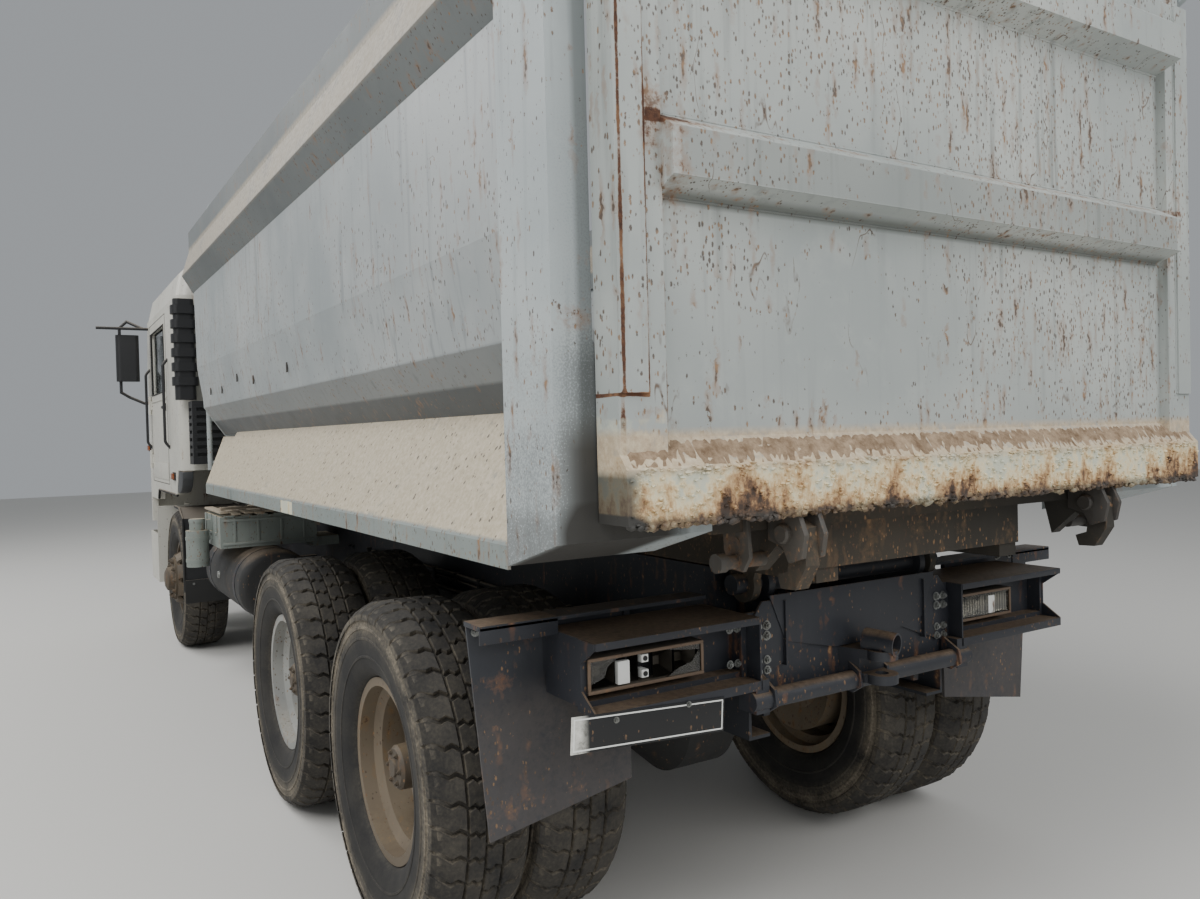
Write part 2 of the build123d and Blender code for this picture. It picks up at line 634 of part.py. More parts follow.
# Front bumper with corner steps, on two brackets from the rails
bumper_low_z, bumper_top_z = 440.0, 862.0
bumper_half = 1215.0
bumper_plate = 14.0
step_rear_x = front_x + arch_radius + 15
headlamp_y, headlamp_z = 900.0, 690.0
headlamp_width, headlamp_height = 340.0, 170.0
with BuildPart() as front_bumper:
    with BuildSketch(Plane.XY.offset(bumper_low_z)):
        with BuildLine():
            Polyline((step_rear_x, bumper_half), (nose_x - 190, bumper_half),
                     (nose_x - 25, bumper_half - 190),
                     (nose_x, bumper_half - 420), (nose_x, 420 - bumper_half),
                     (nose_x - 25, 190 - bumper_half),
                     (nose_x - 190, -bumper_half), (step_rear_x, -bumper_half),
                     (step_rear_x, bumper_plate - bumper_half), (nose_x - 196, bumper_plate - bumper_half),
                     (nose_x - 25 - bumper_plate, 196 - bumper_half),
                     (nose_x - bumper_plate, 422 - bumper_half),
                     (nose_x - bumper_plate, bumper_half - 422),
                     (nose_x - 25 - bumper_plate, bumper_half - 196),
                     (nose_x - 196, bumper_half - bumper_plate), (step_rear_x, bumper_half - bumper_plate),
                     close=True)
        make_face()
    extrude(amount=bumper_top_z - bumper_low_z)
    for side in (-1, 1):
        with Locations((nose_x - 30, side * headlamp_y, headlamp_z)):
            Box(150, headlamp_width + 1, headlamp_height + 1, mode=Mode.SUBTRACT)
        bar((frame_front_x - 150, nose_x - bumper_plate), sorted((side * 350, side * 415)), (765, 850))
        bar((cab_pivot_x - 40, cab_pivot_x + 40), sorted((side * 350, side * 415)), (850, cab_pivot_z + 32))
        rod((cab_pivot_x, side * 350, cab_pivot_z), (cab_pivot_x, side * 470, cab_pivot_z), 20)
        # Steps into the cab
        for step_z in (bumper_low_z, 790):
            bar((step_rear_x, step_rear_x + 420), sorted((side * 930, side * (bumper_half - bumper_plate))),
                (step_z, step_z + 30))
        bar((step_rear_x, step_rear_x + 420), sorted((side * 930, side * 942)), (bumper_low_z, 1110))
        bar((step_rear_x, step_rear_x + 12), sorted((side * 942, side * bumper_half)), (bumper_low_z, 1110))
        bar((step_rear_x + 200, step_rear_x + 260), sorted((side * rail_outer_y, side * 930)), (790, 850))
    with Locations((nose_x - 65, 0, 640)):
        Box(130, 170, 120)
    with Locations((nose_x - 40, 0, 640)):
        Cylinder(jaw_pin_radius, 160, mode=Mode.SUBTRACT)
        Box(200, 110, 60, mode=Mode.SUBTRACT)
write_part("front_bumper", front_bumper.part)

with BuildPart() as headlamps:
    for side in (-1, 1):
        with Locations((nose_x - 52, side * headlamp_y, headlamp_z)):
            Box(90, headlamp_width, headlamp_height)
    fillet(headlamps.edges().filter_by(Axis.X), 18)
write_part("headlamps", headlamps.part)

# Front mudguards: an angled shell behind each front wheel with its rubber flap
guard_outer_y, guard_inner_y = 1205.0, 760.0
guard_plate = 10.0
with BuildPart() as front_mudguards:
    for side in (-1, 1):
        with BuildSketch(Plane.XZ.offset(-max(side * guard_outer_y, side * guard_inner_y))):
            with BuildLine():
                Polyline((front_x - 330, 1160), (front_x - 560, 1160), (front_x - 735, 1090),
                         (front_x - 745, 540),
                         (front_x - 745 + guard_plate, 540), (front_x - 725, 1083), (front_x - 558, 1150),
                         (front_x - 330, 1150), close=True)
            make_face()
        extrude(amount=guard_outer_y - guard_inner_y)
        rod((front_x - 770, side * rail_outer_y, 930), (front_x - 770, side * (guard_outer_y - 60), 930), 24)
        bar((front_x - 775, front_x - 738), sorted((side * guard_inner_y, side * (guard_outer_y - 60))),
            (915, 945))
write_part("front_mudguards", front_mudguards.part)

# Bed
seam_cut = 1.7
seam_turn = atan2(lower_bend_z - seam_z, lower_bend_y - seam_y)
tub_side = [(seam_y + seam_cut * cos(seam_turn), seam_z + seam_cut * sin(seam_turn)),
            (lower_bend_y, lower_bend_z), (upper_bend_y, upper_bend_z), (wall_y, wall_z),
            (wall_y + 5, rail_low_z - seat_gap)]
sheet_front_x = bed_front_x - front_wall_plate
with BuildPart() as bed_floor:
    with BuildSketch(Plane.YZ.offset(bed_rear_x)):
        with BuildLine():
            Polyline((-seam_y, seam_z), (-floor_half, floor_z), (floor_half, floor_z), (seam_y, seam_z))
            offset(amount=tub_plate, side=Side.LEFT, kind=Kind.INTERSECTION)
        make_face()
    extrude(amount=sheet_front_x - bed_rear_x)
write_part("bed_floor", bed_floor.part)

with BuildPart() as bed_sides:
    for side in (-1, 1):
        with BuildSketch(Plane.YZ.offset(bed_rear_x)):
            with BuildLine():
                Polyline(*[(side * y, z) for y, z in tub_side])
                offset(amount=tub_plate, side=Side.LEFT if side > 0 else Side.RIGHT, kind=Kind.INTERSECTION)
            make_face()
        extrude(amount=sheet_front_x - bed_rear_x)
        with BuildSketch(Plane.YZ.offset(bed_rear_x)):
            with BuildLine():
                Polyline((side * (rail_face_y - post_thick - 30), upper_bend_z - 60),
                         (side * 1300, upper_bend_z - 60),
                         (side * 1300, rail_high_z), (side * (rail_face_y - post_thick - 30), rail_high_z),
                         close=True)
            make_face()
        extrude(amount=post_front_x - bed_rear_x, mode=Mode.SUBTRACT)
write_part("bed_sides", bed_sides.part)

post_inner_y = skirt_y - post_thick
ear_inner_y, ear_outer_y = gate_half + 6, gate_half + 32
with BuildPart() as bed_rear_posts:
    for side in (-1, 1):
        with BuildSketch(Plane.YZ.offset(bed_rear_x)):
            with BuildLine():
                bend_z = lower_bend_z + (post_inner_y - lower_bend_y) * (upper_bend_z - lower_bend_z) / (
                    upper_bend_y - lower_bend_y)
                Polyline((side * skirt_y, post_top_z), (side * post_inner_y, post_top_z),
                         (side * post_inner_y, bend_z), (side * lower_bend_y, lower_bend_z),
                         (side * seam_y, seam_z), (side * floor_half, floor_z),
                         (side * floor_half, post_low_z), (side * skirt_y, post_low_z), close=True)
            make_face()
        extrude(amount=post_front_x - bed_rear_x)
        with BuildSketch(Plane.XZ.offset(-max(side * gate_half, side * 1300))):
            with BuildLine():
                Polyline((post_front_x + 1, post_low_z), (bed_rear_x - 1, post_rear_low_z),
                         (bed_rear_x - 1, post_low_z - 60), (post_front_x + 1, post_low_z - 60), close=True)
            make_face()
        extrude(amount=500, both=True, mode=Mode.SUBTRACT)
        # Ear for the tailgate's hinge pin
        with BuildSketch(Plane.XZ.offset(-max(side * ear_inner_y, side * ear_outer_y))):
            with BuildLine():
                Polyline((bed_rear_x + 5, post_top_z - 130), (bed_rear_x + 5, post_top_z),
                         (gate_pin_x, post_top_z), (gate_pin_x - 40, gate_pin_z - 30), close=True)
            make_face()
            with Locations((gate_pin_x, gate_pin_z)):
                Circle(42)
                Circle(gate_pin_radius + fit_gap, mode=Mode.SUBTRACT)
        extrude(amount=ear_outer_y - ear_inner_y)
write_part("bed_rear_posts", bed_rear_posts.part)

# Top rails: a folded box along each side
rail_section = [(wall_y + 5, rail_low_z), (rail_face_y, rail_low_z + 110), (1222.0, 2920.0),
                (1222.0, rail_high_z),
                (1175.0, rail_high_z), (1175.0, rail_low_z)]
with BuildPart() as bed_top_rails:
    for side in (-1, 1):
        with BuildSketch(Plane.YZ.offset(post_front_x)):
            with BuildLine():
                Polyline(*[(side * y, z) for y, z in rail_section], close=True)
            make_face()
        extrude(amount=bed_front_x - post_front_x)
write_part("bed_top_rails", bed_top_rails.part)

# Side skirts, from the lip over the wheels up to the seam
skirt_top = (seam_y + 4, seam_z + 26)
with BuildPart() as bed_skirts:
    for side in (-1, 1):
        with BuildSketch(Plane.YZ.offset(post_front_x)):
            with BuildLine():
                Polyline((side * skirt_y, skirt_low_z), (side * skirt_y, skirt_low_z + skirt_lip),
                         (side * skirt_top[0], skirt_top[1]))
                offset(amount=skirt_plate, side=Side.LEFT if side > 0 else Side.RIGHT, kind=Kind.INTERSECTION)
            make_face()
            with BuildLine():
                Polyline((side * floor_half, floor_z), (side * seam_y, seam_z),
                         (side * lower_bend_y, lower_bend_z),
                         (side * lower_bend_y, 2000), (side * floor_half, 2000), close=True)
            make_face(mode=Mode.SUBTRACT)
        extrude(amount=skirt_front_x - post_front_x)
write_part("bed_skirts", bed_skirts.part)

# Underframe: sills, cross-bearers, skirt gussets, pivot ears and the claws under the tailgate
bearer_size = 60.0
bearer_low_z = floor_z - bearer_size
bearer_places = [-900, -330, 240, 810, 1380, 1950, 2520, 3090, 3440]
gusset_places = [-300, 830, 1970, 3080]
claw_y = 620.0
with BuildPart() as bed_underframe:
    for side in (-1, 1):
        bar((bed_rear_x + 70, third_x + 3480), sorted((side * (sill_y - 40), side * (sill_y + 40))),
            (sill_z, bearer_low_z))
        with BuildSketch(Plane.XZ.offset(-side * sill_y - 14)):
            with BuildLine():
                Polyline((pivot_x - 62, sill_z), (pivot_x - 40, pivot_z - 20), (pivot_x + 40, pivot_z - 20),
                         (pivot_x + 62, sill_z), close=True)
            make_face()
            with Locations((pivot_x, pivot_z)):
                Circle(56)
                Circle(pivot_radius + fit_gap, mode=Mode.SUBTRACT)
        extrude(amount=28)
    for from_axle in bearer_places:
        bar((third_x + from_axle - 30, third_x + from_axle + 30), (-floor_half + 4, floor_half - 4),
            (bearer_low_z, floor_z))
    bar((bed_rear_x, bed_rear_x + 100), (-floor_half, floor_half), (1410, floor_z))
    bar((bed_rear_x + 60, bed_rear_x + 100), (-sill_y - 40, sill_y + 40), (sill_z + 40, 1410))
    for side in (-1, 1):
        for from_axle in gusset_places:
            with BuildSketch(Plane.YZ.offset(third_x + from_axle - 5)):
                with BuildLine():
                    Polyline((side * 300, bearer_low_z), (side * (skirt_y - 9), skirt_low_z + 20),
                             (side * (skirt_y - 9), skirt_low_z + skirt_lip - 4), (side * 1047, 1690),
                             (side * (seam_y - 6), seam_z - 6.9), (side * floor_half, floor_z),
                             (side * 300, floor_z), close=True)
                make_face()
            extrude(amount=10)
        with BuildSketch(Plane.XZ.offset(-side * claw_y - 22)):
            with BuildLine():
                Polyline((bed_rear_x + 90, 1420), (bed_rear_x - 20, 1410), (bed_rear_x - 60, 1440),
                         (bed_rear_x - 112, 1420), (bed_rear_x - 118, 1330), (bed_rear_x - 80, 1270),
                         (bed_rear_x - 30, 1268), (bed_rear_x - 20, 1300), (bed_rear_x - 55, 1312),
                         (bed_rear_x - 62, 1352), (bed_rear_x - 20, 1372), (bed_rear_x + 60, 1300),
                         close=True)
            make_face()
        extrude(amount=44)
write_part("bed_underframe", bed_underframe.part)

# Front wall with its ribs, the ladder at its left and the ears that the hoist lifts by
head_ear_y = 92.0
wall_x = bed_front_x
with BuildPart() as bed_front_wall:
    with BuildSketch(Plane.YZ.offset(sheet_front_x)):
        with BuildLine():
            half = [(floor_half, floor_z), (seam_y, seam_z), (lower_bend_y, lower_bend_z),
                    (upper_bend_y, upper_bend_z), (1175, wall_z), (1175, rail_high_z + 20),
                    (1090, front_wall_top)]
            Polyline(*half, *[(-y, z) for y, z in reversed(half)], close=True)
        make_face()
    extrude(amount=front_wall_plate)
    for side in (-1, 1):
        bar((wall_x, wall_x + 45), sorted((side * 560, side * 640)), (floor_z + 20, front_wall_top - 10))
        with BuildSketch(Plane.XZ.offset(-side * head_ear_y - 10)):
            with BuildLine():
                Polyline((wall_x, hoist_head_z - 290), (hoist_head_x, hoist_head_z - 60),
                         (hoist_head_x + 55, hoist_head_z), (hoist_head_x, hoist_head_z + 60),
                         (wall_x, hoist_head_z + 290), close=True)
            make_face()
            with Locations((hoist_head_x, hoist_head_z)):
                Circle(62)
        extrude(amount=20)
        rod((hoist_head_x, side * (head_ear_y + 10), hoist_head_z),
            (hoist_head_x, side * (head_ear_y + 45), hoist_head_z), 34)
    bar((wall_x, wall_x + 30), (-head_ear_y - 80, head_ear_y + 80), (hoist_head_z - 320, hoist_head_z + 320))
    for stile_y in (1120, 820):
        rod((wall_x + 62, stile_y, 1470), (wall_x + 62, stile_y, 3080), 17)
        for stand_z in (1810, 2390, 2970):
            stand_y = min(stile_y, 1010) if stand_z < upper_bend_z else stile_y
            rod((wall_x, stand_y, stand_z), (wall_x + 62, stand_y, stand_z), 12)
    for rung in range(6):
        rung_z = 1520 + rung * 290
        rod((wall_x + 62, 820, rung_z), (wall_x + 62, 1120, rung_z), 13)
write_part("bed_front_wall", bed_front_wall.part)

# Tailgate: a thick panel in a frame of stiles, two ribs and the ledge at its foot
gate_back_x = third_x - 1350.0
with BuildPart() as tailgate_panel:
    bar((gate_back_x, gate_front_x), (-stile_inner_y, stile_inner_y), (gate_low_z, gate_top_z))
write_part("tailgate_panel", tailgate_panel.part)

# Each rib: points from the panel outwards, x from the third axle, z
gate_ribs = {
    "ledge": [(-1350, 1460), (-1405, 1460), (-1405, 1577), (-1350, 1642)],
    "middle": [(-1350, 2165), (-1422, 2197), (-1422, 2300), (-1350, 2345)],
    "top": [(-1350, gate_top_z - 230), (-1430, gate_top_z - 198), (-1430, gate_top_z - 93),
            (-1379, gate_top_z - 50), (-1379, gate_top_z), (-1350, gate_top_z)],
}
with BuildPart() as tailgate_frame:
    for side in (-1, 1):
        bar((gate_rear_x, gate_front_x), sorted((side * stile_inner_y, side * gate_half)),
            (gate_low_z, gate_top_z))
        bar((gate_rear_x - 7, gate_rear_x), sorted((side * 1063, side * gate_half)), (1737, gate_top_z))
        bar((gate_pin_x - 25, gate_pin_x + 25), sorted((side * 1095, side * (gate_half - 2))),
            (gate_top_z, gate_pin_z))
        with Locations((gate_pin_x, side * (1095 + gate_half - 2) / 2, gate_pin_z)):
            Cylinder(30, gate_half - 2 - 1095, rotation=(90, 0, 0))
        rod((gate_pin_x, side * 1100, gate_pin_z), (gate_pin_x, side * (ear_outer_y + 12), gate_pin_z),
            gate_pin_radius)
    for name, outline in gate_ribs.items():
        half = gate_half if name == "ledge" else stile_inner_y
        with BuildSketch(Plane.XZ.offset(-half)):
            with BuildLine():
                Polyline(*[(third_x + x, z) for x, z in outline], close=True)
            make_face()
        extrude(amount=2 * half)
write_part("tailgate_frame", tailgate_frame.part)

# Hoist: barrel on the cradle, and three stages that slide out along its axis
hoist_foot = Vector(hoist_foot_x, 0, hoist_foot_z)
hoist_line = Vector(hoist_head_x, 0, hoist_head_z) - hoist_foot
hoist_closed = hoist_line.length
hoist_way = hoist_line.normalized()
barrel_start, barrel_end = 70.0, hoist_closed - 190
collar_length = 45.0


def along_hoist(distance):
    return hoist_foot + hoist_way * distance


hoist_names = ["hoist_barrel", "hoist_stage_1", "hoist_stage_2", "hoist_rod"]
for index, name in enumerate(hoist_names):
    radius = hoist_radii[index]
    start = barrel_start + 35 * index
    end = barrel_end + hoist_stick_out * index
    with BuildPart() as stage:
        if index < 3:
            inner = hoist_radii[index + 1]
            rod(along_hoist(start), along_hoist(end), radius)
            rod(along_hoist(end - collar_length), along_hoist(end), radius + 5)
            rod(along_hoist(start + 30), along_hoist(end - collar_length),
                radius - hoist_wall, Mode.SUBTRACT)
            rod(along_hoist(start + 30), along_hoist(end + 1), inner + running_gap,
                Mode.SUBTRACT)
        else:
            rod(along_hoist(start), along_hoist(hoist_closed - 40), radius)
            with Locations((hoist_head_x, 0, hoist_head_z)):
                Cylinder(55, 100, rotation=(90, 0, 0))
                Cylinder(34.5, 100, rotation=(90, 0, 0), mode=Mode.SUBTRACT)
        if index == 0:
            rod((hoist_foot_x, 0, hoist_foot_z), along_hoist(barrel_start + 5), 60)
            with Locations((hoist_foot_x, 0, hoist_foot_z)):
                Cylinder(58, 200, rotation=(90, 0, 0))
                Cylinder(30 + fit_gap, 200, rotation=(90, 0, 0), mode=Mode.SUBTRACT)
    write_part(name, stage.part)

# Cab shell: rear wall, quarters, pillars, header and front panel, with the door openings, windscreen
# opening and rear window cut through
screen_low_z, screen_top_z = 2060.0, 2690.0
screen_half = 1070.0
screen_lean = 190.0
rear_window = (380.0, 2150.0, 2560.0)
cab_nose_x = cab_front_x - 140
arm_y = 445.0


def screen_x(z):
    """The cab's front face, upright to the belt and leaning back above it."""
    return cab_front_x - screen_lean * max(0.0, z - cab_belt_z) / (cab_header_z - cab_belt_z)


def hinge_knuckle(side, low_z, high_z, leaf_end_x):
    """A barrel about the door's hinge line with its leaf along the skin."""
    with Locations((door_hinge_x, side * door_hinge_y, (low_z + high_z) / 2)):
        Cylinder(door_barrel, high_z - low_z)
    bar(sorted((door_hinge_x, leaf_end_x)), sorted((side * cab_half, side * (cab_half + 8))), (low_z, high_z))


with BuildPart() as cab_body:
    with BuildSketch(Plane.XY.offset(cab_nose_low_z)):
        with Locations(((cab_rear_x + cab_front_x) / 2, 0)):
            RectangleRounded(cab_front_x - cab_rear_x, 2 * cab_half, 90)
    extrude(amount=cab_header_z - cab_nose_low_z)
    with BuildSketch(Plane.XZ.offset(-cab_half - 50)):
        with BuildLine():
            Polyline((cab_rear_x, cab_floor_z), (cab_rear_x + 200, cab_floor_z), (cab_rear_x + 290, 1262),
                     (front_x + 630, 1262), (front_x + 690, cab_low_z), (cab_nose_x, cab_low_z),
                     (cab_nose_x, cab_nose_low_z), (cab_front_x, cab_nose_low_z), (cab_front_x, cab_belt_z),
                     (screen_x(cab_header_z), cab_header_z), (cab_rear_x, cab_header_z), close=True)
        make_face()
    extrude(amount=2 * cab_half + 100, mode=Mode.INTERSECT)
    with BuildSketch(Plane.XZ.offset(-cab_half + cab_wall)):
        with BuildLine():
            Polyline((cab_rear_x + cab_wall, 900), (cab_front_x - cab_wall, 900),
                     (cab_front_x - cab_wall, cab_belt_z - 8),
                     (screen_x(cab_header_z) - cab_wall - 2, cab_header_z),
                     (cab_rear_x + cab_wall, cab_header_z), close=True)
        make_face()
    extrude(amount=2 * (cab_half - cab_wall), mode=Mode.SUBTRACT)
    with Locations(((door_rear_x + door_front_x) / 2, 0, (door_low_z + door_top_z) / 2)):
        Box(door_front_x - door_rear_x + 2 * door_gap, 2 * cab_half + 20,
            door_top_z - door_low_z + 2 * door_gap,
            mode=Mode.SUBTRACT)
    with Locations((cab_front_x - 100, 0, (screen_low_z + screen_top_z) / 2)):
        Box(400, 2 * screen_half, screen_top_z - screen_low_z, mode=Mode.SUBTRACT)
    with Locations((cab_rear_x, 0, (rear_window[1] + rear_window[2]) / 2)):
        Box(200, 2 * rear_window[0], rear_window[2] - rear_window[1], mode=Mode.SUBTRACT)
    for side in (-1, 1):
        with BuildSketch(Plane.XZ.offset(-side * arm_y - 14)):
            with BuildLine():
                Polyline((cab_pivot_x - 30, cab_pivot_z), (cab_front_x - cab_wall, cab_nose_low_z + 20),
                         (cab_front_x - cab_wall, 1300), (cab_front_x - cab_wall - 30, 1300), close=True)
            make_face()
            with Locations((cab_pivot_x, cab_pivot_z)):
                Circle(34)
                Circle(20 + fit_gap, mode=Mode.SUBTRACT)
        extrude(amount=28)
        for knuckle_z in door_knuckles:
            hinge_knuckle(side, knuckle_z - knuckle_end, knuckle_z, door_front_x + 60)
            hinge_knuckle(side, knuckle_z + knuckle_tall, knuckle_z + knuckle_tall + knuckle_end,
                          door_front_x + 60)
            rod((door_hinge_x, side * door_hinge_y, knuckle_z - knuckle_end),
                (door_hinge_x, side * door_hinge_y, knuckle_z + knuckle_tall + knuckle_end), door_pin)
write_part("cab_body", cab_body.part)

with BuildPart() as cab_floor:
    bar((cab_rear_x + cab_wall, cab_front_x - cab_wall), (-cab_half + cab_wall, cab_half - cab_wall),
        (cab_floor_z, cab_floor_z + 45))
write_part("cab_floor", cab_floor.part)

# Roof: a shallow hollow dome on the shell
roof_skin = 40.0
with BuildPart() as cab_roof:
    for inset, top, mode in ((0.0, cab_roof_z, Mode.ADD), (roof_skin, cab_roof_z - roof_skin, Mode.SUBTRACT)):
        # share of the height, inset of the ring there
        for (low_share, low_in), (high_share, high_in) in (((0.0, 0.0), (0.62, 35.0)),
                                                           ((0.62, 35.0), (1.0, 130.0))):
            span = top - cab_header_z
            for share, ring in ((low_share, low_in), (high_share, high_in)):
                with BuildSketch(Plane.XY.offset(cab_header_z + share * span)):
                    back, front = cab_rear_x + ring + inset, screen_x(cab_header_z) - ring * 1.6 - inset
                    with Locations(((back + front) / 2, 0)):
                        RectangleRounded(front - back, 2 * (cab_half - ring - inset), 90 - inset / 2)
            loft(mode=mode)
write_part("cab_roof", cab_roof.part)

glass_plate = 7.0
with BuildPart() as cab_glass:
    with BuildSketch(Plane.XZ.offset(-screen_half + seat_gap)):
        low, high = screen_low_z + seat_gap, screen_top_z - seat_gap
        with BuildLine():
            Polyline((screen_x(low) - 18, low), (screen_x(high) - 18, high),
                     (screen_x(high) - 18 - glass_plate, high),
                     (screen_x(low) - 18 - glass_plate, low), close=True)
        make_face()
    extrude(amount=2 * (screen_half - seat_gap))
    bar((cab_rear_x + 16, cab_rear_x + 16 + glass_plate), (-rear_window[0] + seat_gap,
                                                           rear_window[0] - seat_gap),
        (rear_window[1] + seat_gap, rear_window[2] - seat_gap))
write_part("cab_glass", cab_glass.part)

# Doors, hinged at their front edges on knuckles outside the skin, each with its window
window_margin = 85.0
window_low_z = 2080.0
for name, side in (("left", 1), ("right", -1)):
    y_pair = sorted((side * (cab_half - cab_wall), side * cab_half))
    with BuildPart() as door:
        bar((door_rear_x, door_front_x), y_pair, (door_low_z, door_top_z))
        with Locations(((door_rear_x + door_front_x) / 2, side * cab_half,
                        (window_low_z + door_top_z - 70) / 2)):
            Box(door_front_x - door_rear_x - 2 * window_margin, 200, door_top_z - 70 - window_low_z,
                mode=Mode.SUBTRACT)
        for knuckle_z in door_knuckles:
            hinge_knuckle(side, knuckle_z + seat_gap, knuckle_z + knuckle_tall - seat_gap, door_front_x - 60)
            with Locations((door_hinge_x, side * door_hinge_y, knuckle_z + knuckle_tall / 2)):
                Cylinder(door_pin + fit_gap, knuckle_tall + 10, mode=Mode.SUBTRACT)
    write_part(f"door_{name}", door.part)
    with BuildPart() as pane:
        bar((door_rear_x + window_margin + seat_gap, door_front_x - window_margin - seat_gap),
            sorted((side * (cab_half - 28), side * (cab_half - 22))),
            (window_low_z + seat_gap, door_top_z - 70 - seat_gap))
    write_part(f"door_glass_{name}", pane.part)

# Seats, dashboard and steering wheel
seat_x = door_rear_x - 230
with BuildPart() as seats:
    for seat_y in (-620, 620):
        bar((seat_x + 60, seat_x + 400), (seat_y - 170, seat_y + 170), (cab_floor_z + 45, 1790))
        with BuildSketch(Plane.XZ.offset(-seat_y - 250)):
            with BuildLine():
                Polyline((seat_x - 10, 1790), (seat_x + 500, 1790), (seat_x + 510, 1910),
                         (seat_x + 120, 1905),
                         (seat_x + 10, 2560), (seat_x - 100, 2550), close=True)
            make_face()
        extrude(amount=500)
    fillet(seats.edges().filter_by(Axis.Y).group_by(Axis.Z)[-1], 40)
write_part("seats", seats.part)

wheel_centre = (third_x + 6010, 620.0, 2030.0)
with BuildPart() as dashboard:
    with BuildSketch(Plane.XZ.offset(-cab_half + cab_wall + 1)):
        with BuildLine():
            Polyline((cab_front_x - cab_wall, 1560), (cab_front_x - cab_wall, 2010), (third_x + 6330, 2020),
                     (third_x + 6240, 1960), (third_x + 6260, 1800), (third_x + 6420, 1600), close=True)
        make_face()
    extrude(amount=2 * (cab_half - cab_wall - 1))
    rod(wheel_centre, (third_x + 6290, 620, 1870), 26)
    with Locations(Location(wheel_centre, (0, 60, 0))):
        Torus(215, 15)
        Box(30, 424, 18)
        Box(215, 30, 18, align=(Align.MAX, Align.CENTER, Align.CENTER))
write_part("dashboard", dashboard.part)

# Mirrors on looped arms from the front pillars
mirror_x = third_x + 6500
arm_y_out = 1425.0
arm_radius = 13.0
with BuildPart() as mirrors:
    for side in (-1, 1):
        loop = [(mirror_x - 110, side * cab_half, 2700), (mirror_x - 110, side * (cab_half + 40), 2700),
                (mirror_x, side * (arm_y_out - 60), 2775), (mirror_x, side * arm_y_out, 2715),
                (mirror_x, side * arm_y_out, 2130), (mirror_x, side * (arm_y_out - 70), 2085),
                (mirror_x - 20, side * (cab_half + 40), 2030), (mirror_x - 20, side * cab_half, 2030)]
        with BuildLine() as arm:
            Polyline(*loop)
        with BuildSketch(Plane(origin=loop[0], z_dir=(0, side, 0))) as section:
            Circle(arm_radius)
        sweep(section.sketch, path=arm.wires()[0], transition=Transition.RIGHT)
        with BuildSketch(Plane.XY.offset(2230)):
            with Locations((mirror_x - 5, side * (arm_y_out - 60))):
                RectangleRounded(90, 190, 35)
        extrude(amount=420)
write_part("mirrors", mirrors.part)

# Ribbed intake duct at the cab's rear left corner
duct_x, duct_y = cab_rear_x - 62, 1165.0
with BuildPart() as intake_duct:
    with BuildSketch(Plane.XY.offset(1975)):
        with Locations((duct_x, duct_y)):
            RectangleRounded(96, 140, 30)
    extrude(amount=740)
    for rib in range(6):
        with BuildSketch(Plane.XY.offset(2080 + rib * 105)):
            with Locations((duct_x, duct_y)):
                RectangleRounded(123, 176, 40)
        extrude(amount=62)
write_part("intake_duct", intake_duct.part)

# What the joints need
open_angle = radians(45)
reach = Vector(hoist_head_x - pivot_x, 0, hoist_head_z - pivot_z)
raised = Vector(pivot_x + reach.X * cos(open_angle) - reach.Z * sin(open_angle), 0,
                pivot_z + reach.X * sin(open_angle) + reach.Z * cos(open_angle))
raised_line = raised - hoist_foot
lean_back = degrees(atan2(hoist_line.X, hoist_line.Z) - atan2(raised_line.X, raised_line.Z))
print("pivot", pivot_x, pivot_z, "hoist foot", hoist_foot_x, hoist_foot_z, "axis", hoist_way)
print("hoist closed", hoist_closed, "open", raised_line.length, "leans back", lean_back)
print("gate pin", gate_pin_x, gate_pin_z, "cab pivot", cab_pivot_x, cab_pivot_z)
print("door hinge", door_hinge_x, door_hinge_y, "kingpin", front_x, kingpin_y, "tie end", tie_x, tie_y)
print("axles", third_x, second_x, front_x, axle_z)
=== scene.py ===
import bpy
import bmesh
import random
from math import cos, pi, radians, sin
from mathutils import Matrix, Vector


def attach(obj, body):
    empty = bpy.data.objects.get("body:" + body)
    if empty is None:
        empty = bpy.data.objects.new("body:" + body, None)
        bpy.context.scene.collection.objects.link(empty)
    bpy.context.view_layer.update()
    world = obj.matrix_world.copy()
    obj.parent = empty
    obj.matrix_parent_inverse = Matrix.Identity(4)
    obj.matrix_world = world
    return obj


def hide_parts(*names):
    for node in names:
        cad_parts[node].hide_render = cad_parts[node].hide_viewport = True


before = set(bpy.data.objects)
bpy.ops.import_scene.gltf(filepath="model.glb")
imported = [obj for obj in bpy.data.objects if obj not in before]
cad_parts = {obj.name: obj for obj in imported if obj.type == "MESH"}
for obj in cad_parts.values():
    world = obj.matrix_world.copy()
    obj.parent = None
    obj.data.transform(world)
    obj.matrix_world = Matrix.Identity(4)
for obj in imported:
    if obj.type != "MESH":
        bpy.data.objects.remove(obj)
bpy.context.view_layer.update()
print("frame loaded,", len(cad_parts), "nodes")


# Where the photographer stood, worked out from the rear wheels; turns in degrees
view = {"eye": (-5.642, 2.189, 1.656), "turnRight": 31.64, "down": 1.03, "roll": -1.44, "lens": 28.0}
studio = {"floor": 60.0, "floorColour": "CFCDC8", "sky": "E9EEF3", "skyPower": 0.42}


def linear(hexColour):
    parts = [int(hexColour[i:i + 2], 16) / 255 for i in (0, 2, 4)]
    return (*[c / 12.92 if c <= 0.04045 else ((c + 0.055) / 1.055) ** 2.4 for c in parts], 1.0)


def fill(tree, made, links):
    # an input takes a value, a socket, or a node, which stands for its first live output
    for socket, source in links.items():
        if isinstance(source, bpy.types.Node):
            source = next(output for output in source.outputs if output.enabled)
        if isinstance(source, bpy.types.NodeSocket):
            tree.links.new(source, made.inputs[socket])
        else:
            made.inputs[socket].default_value = source


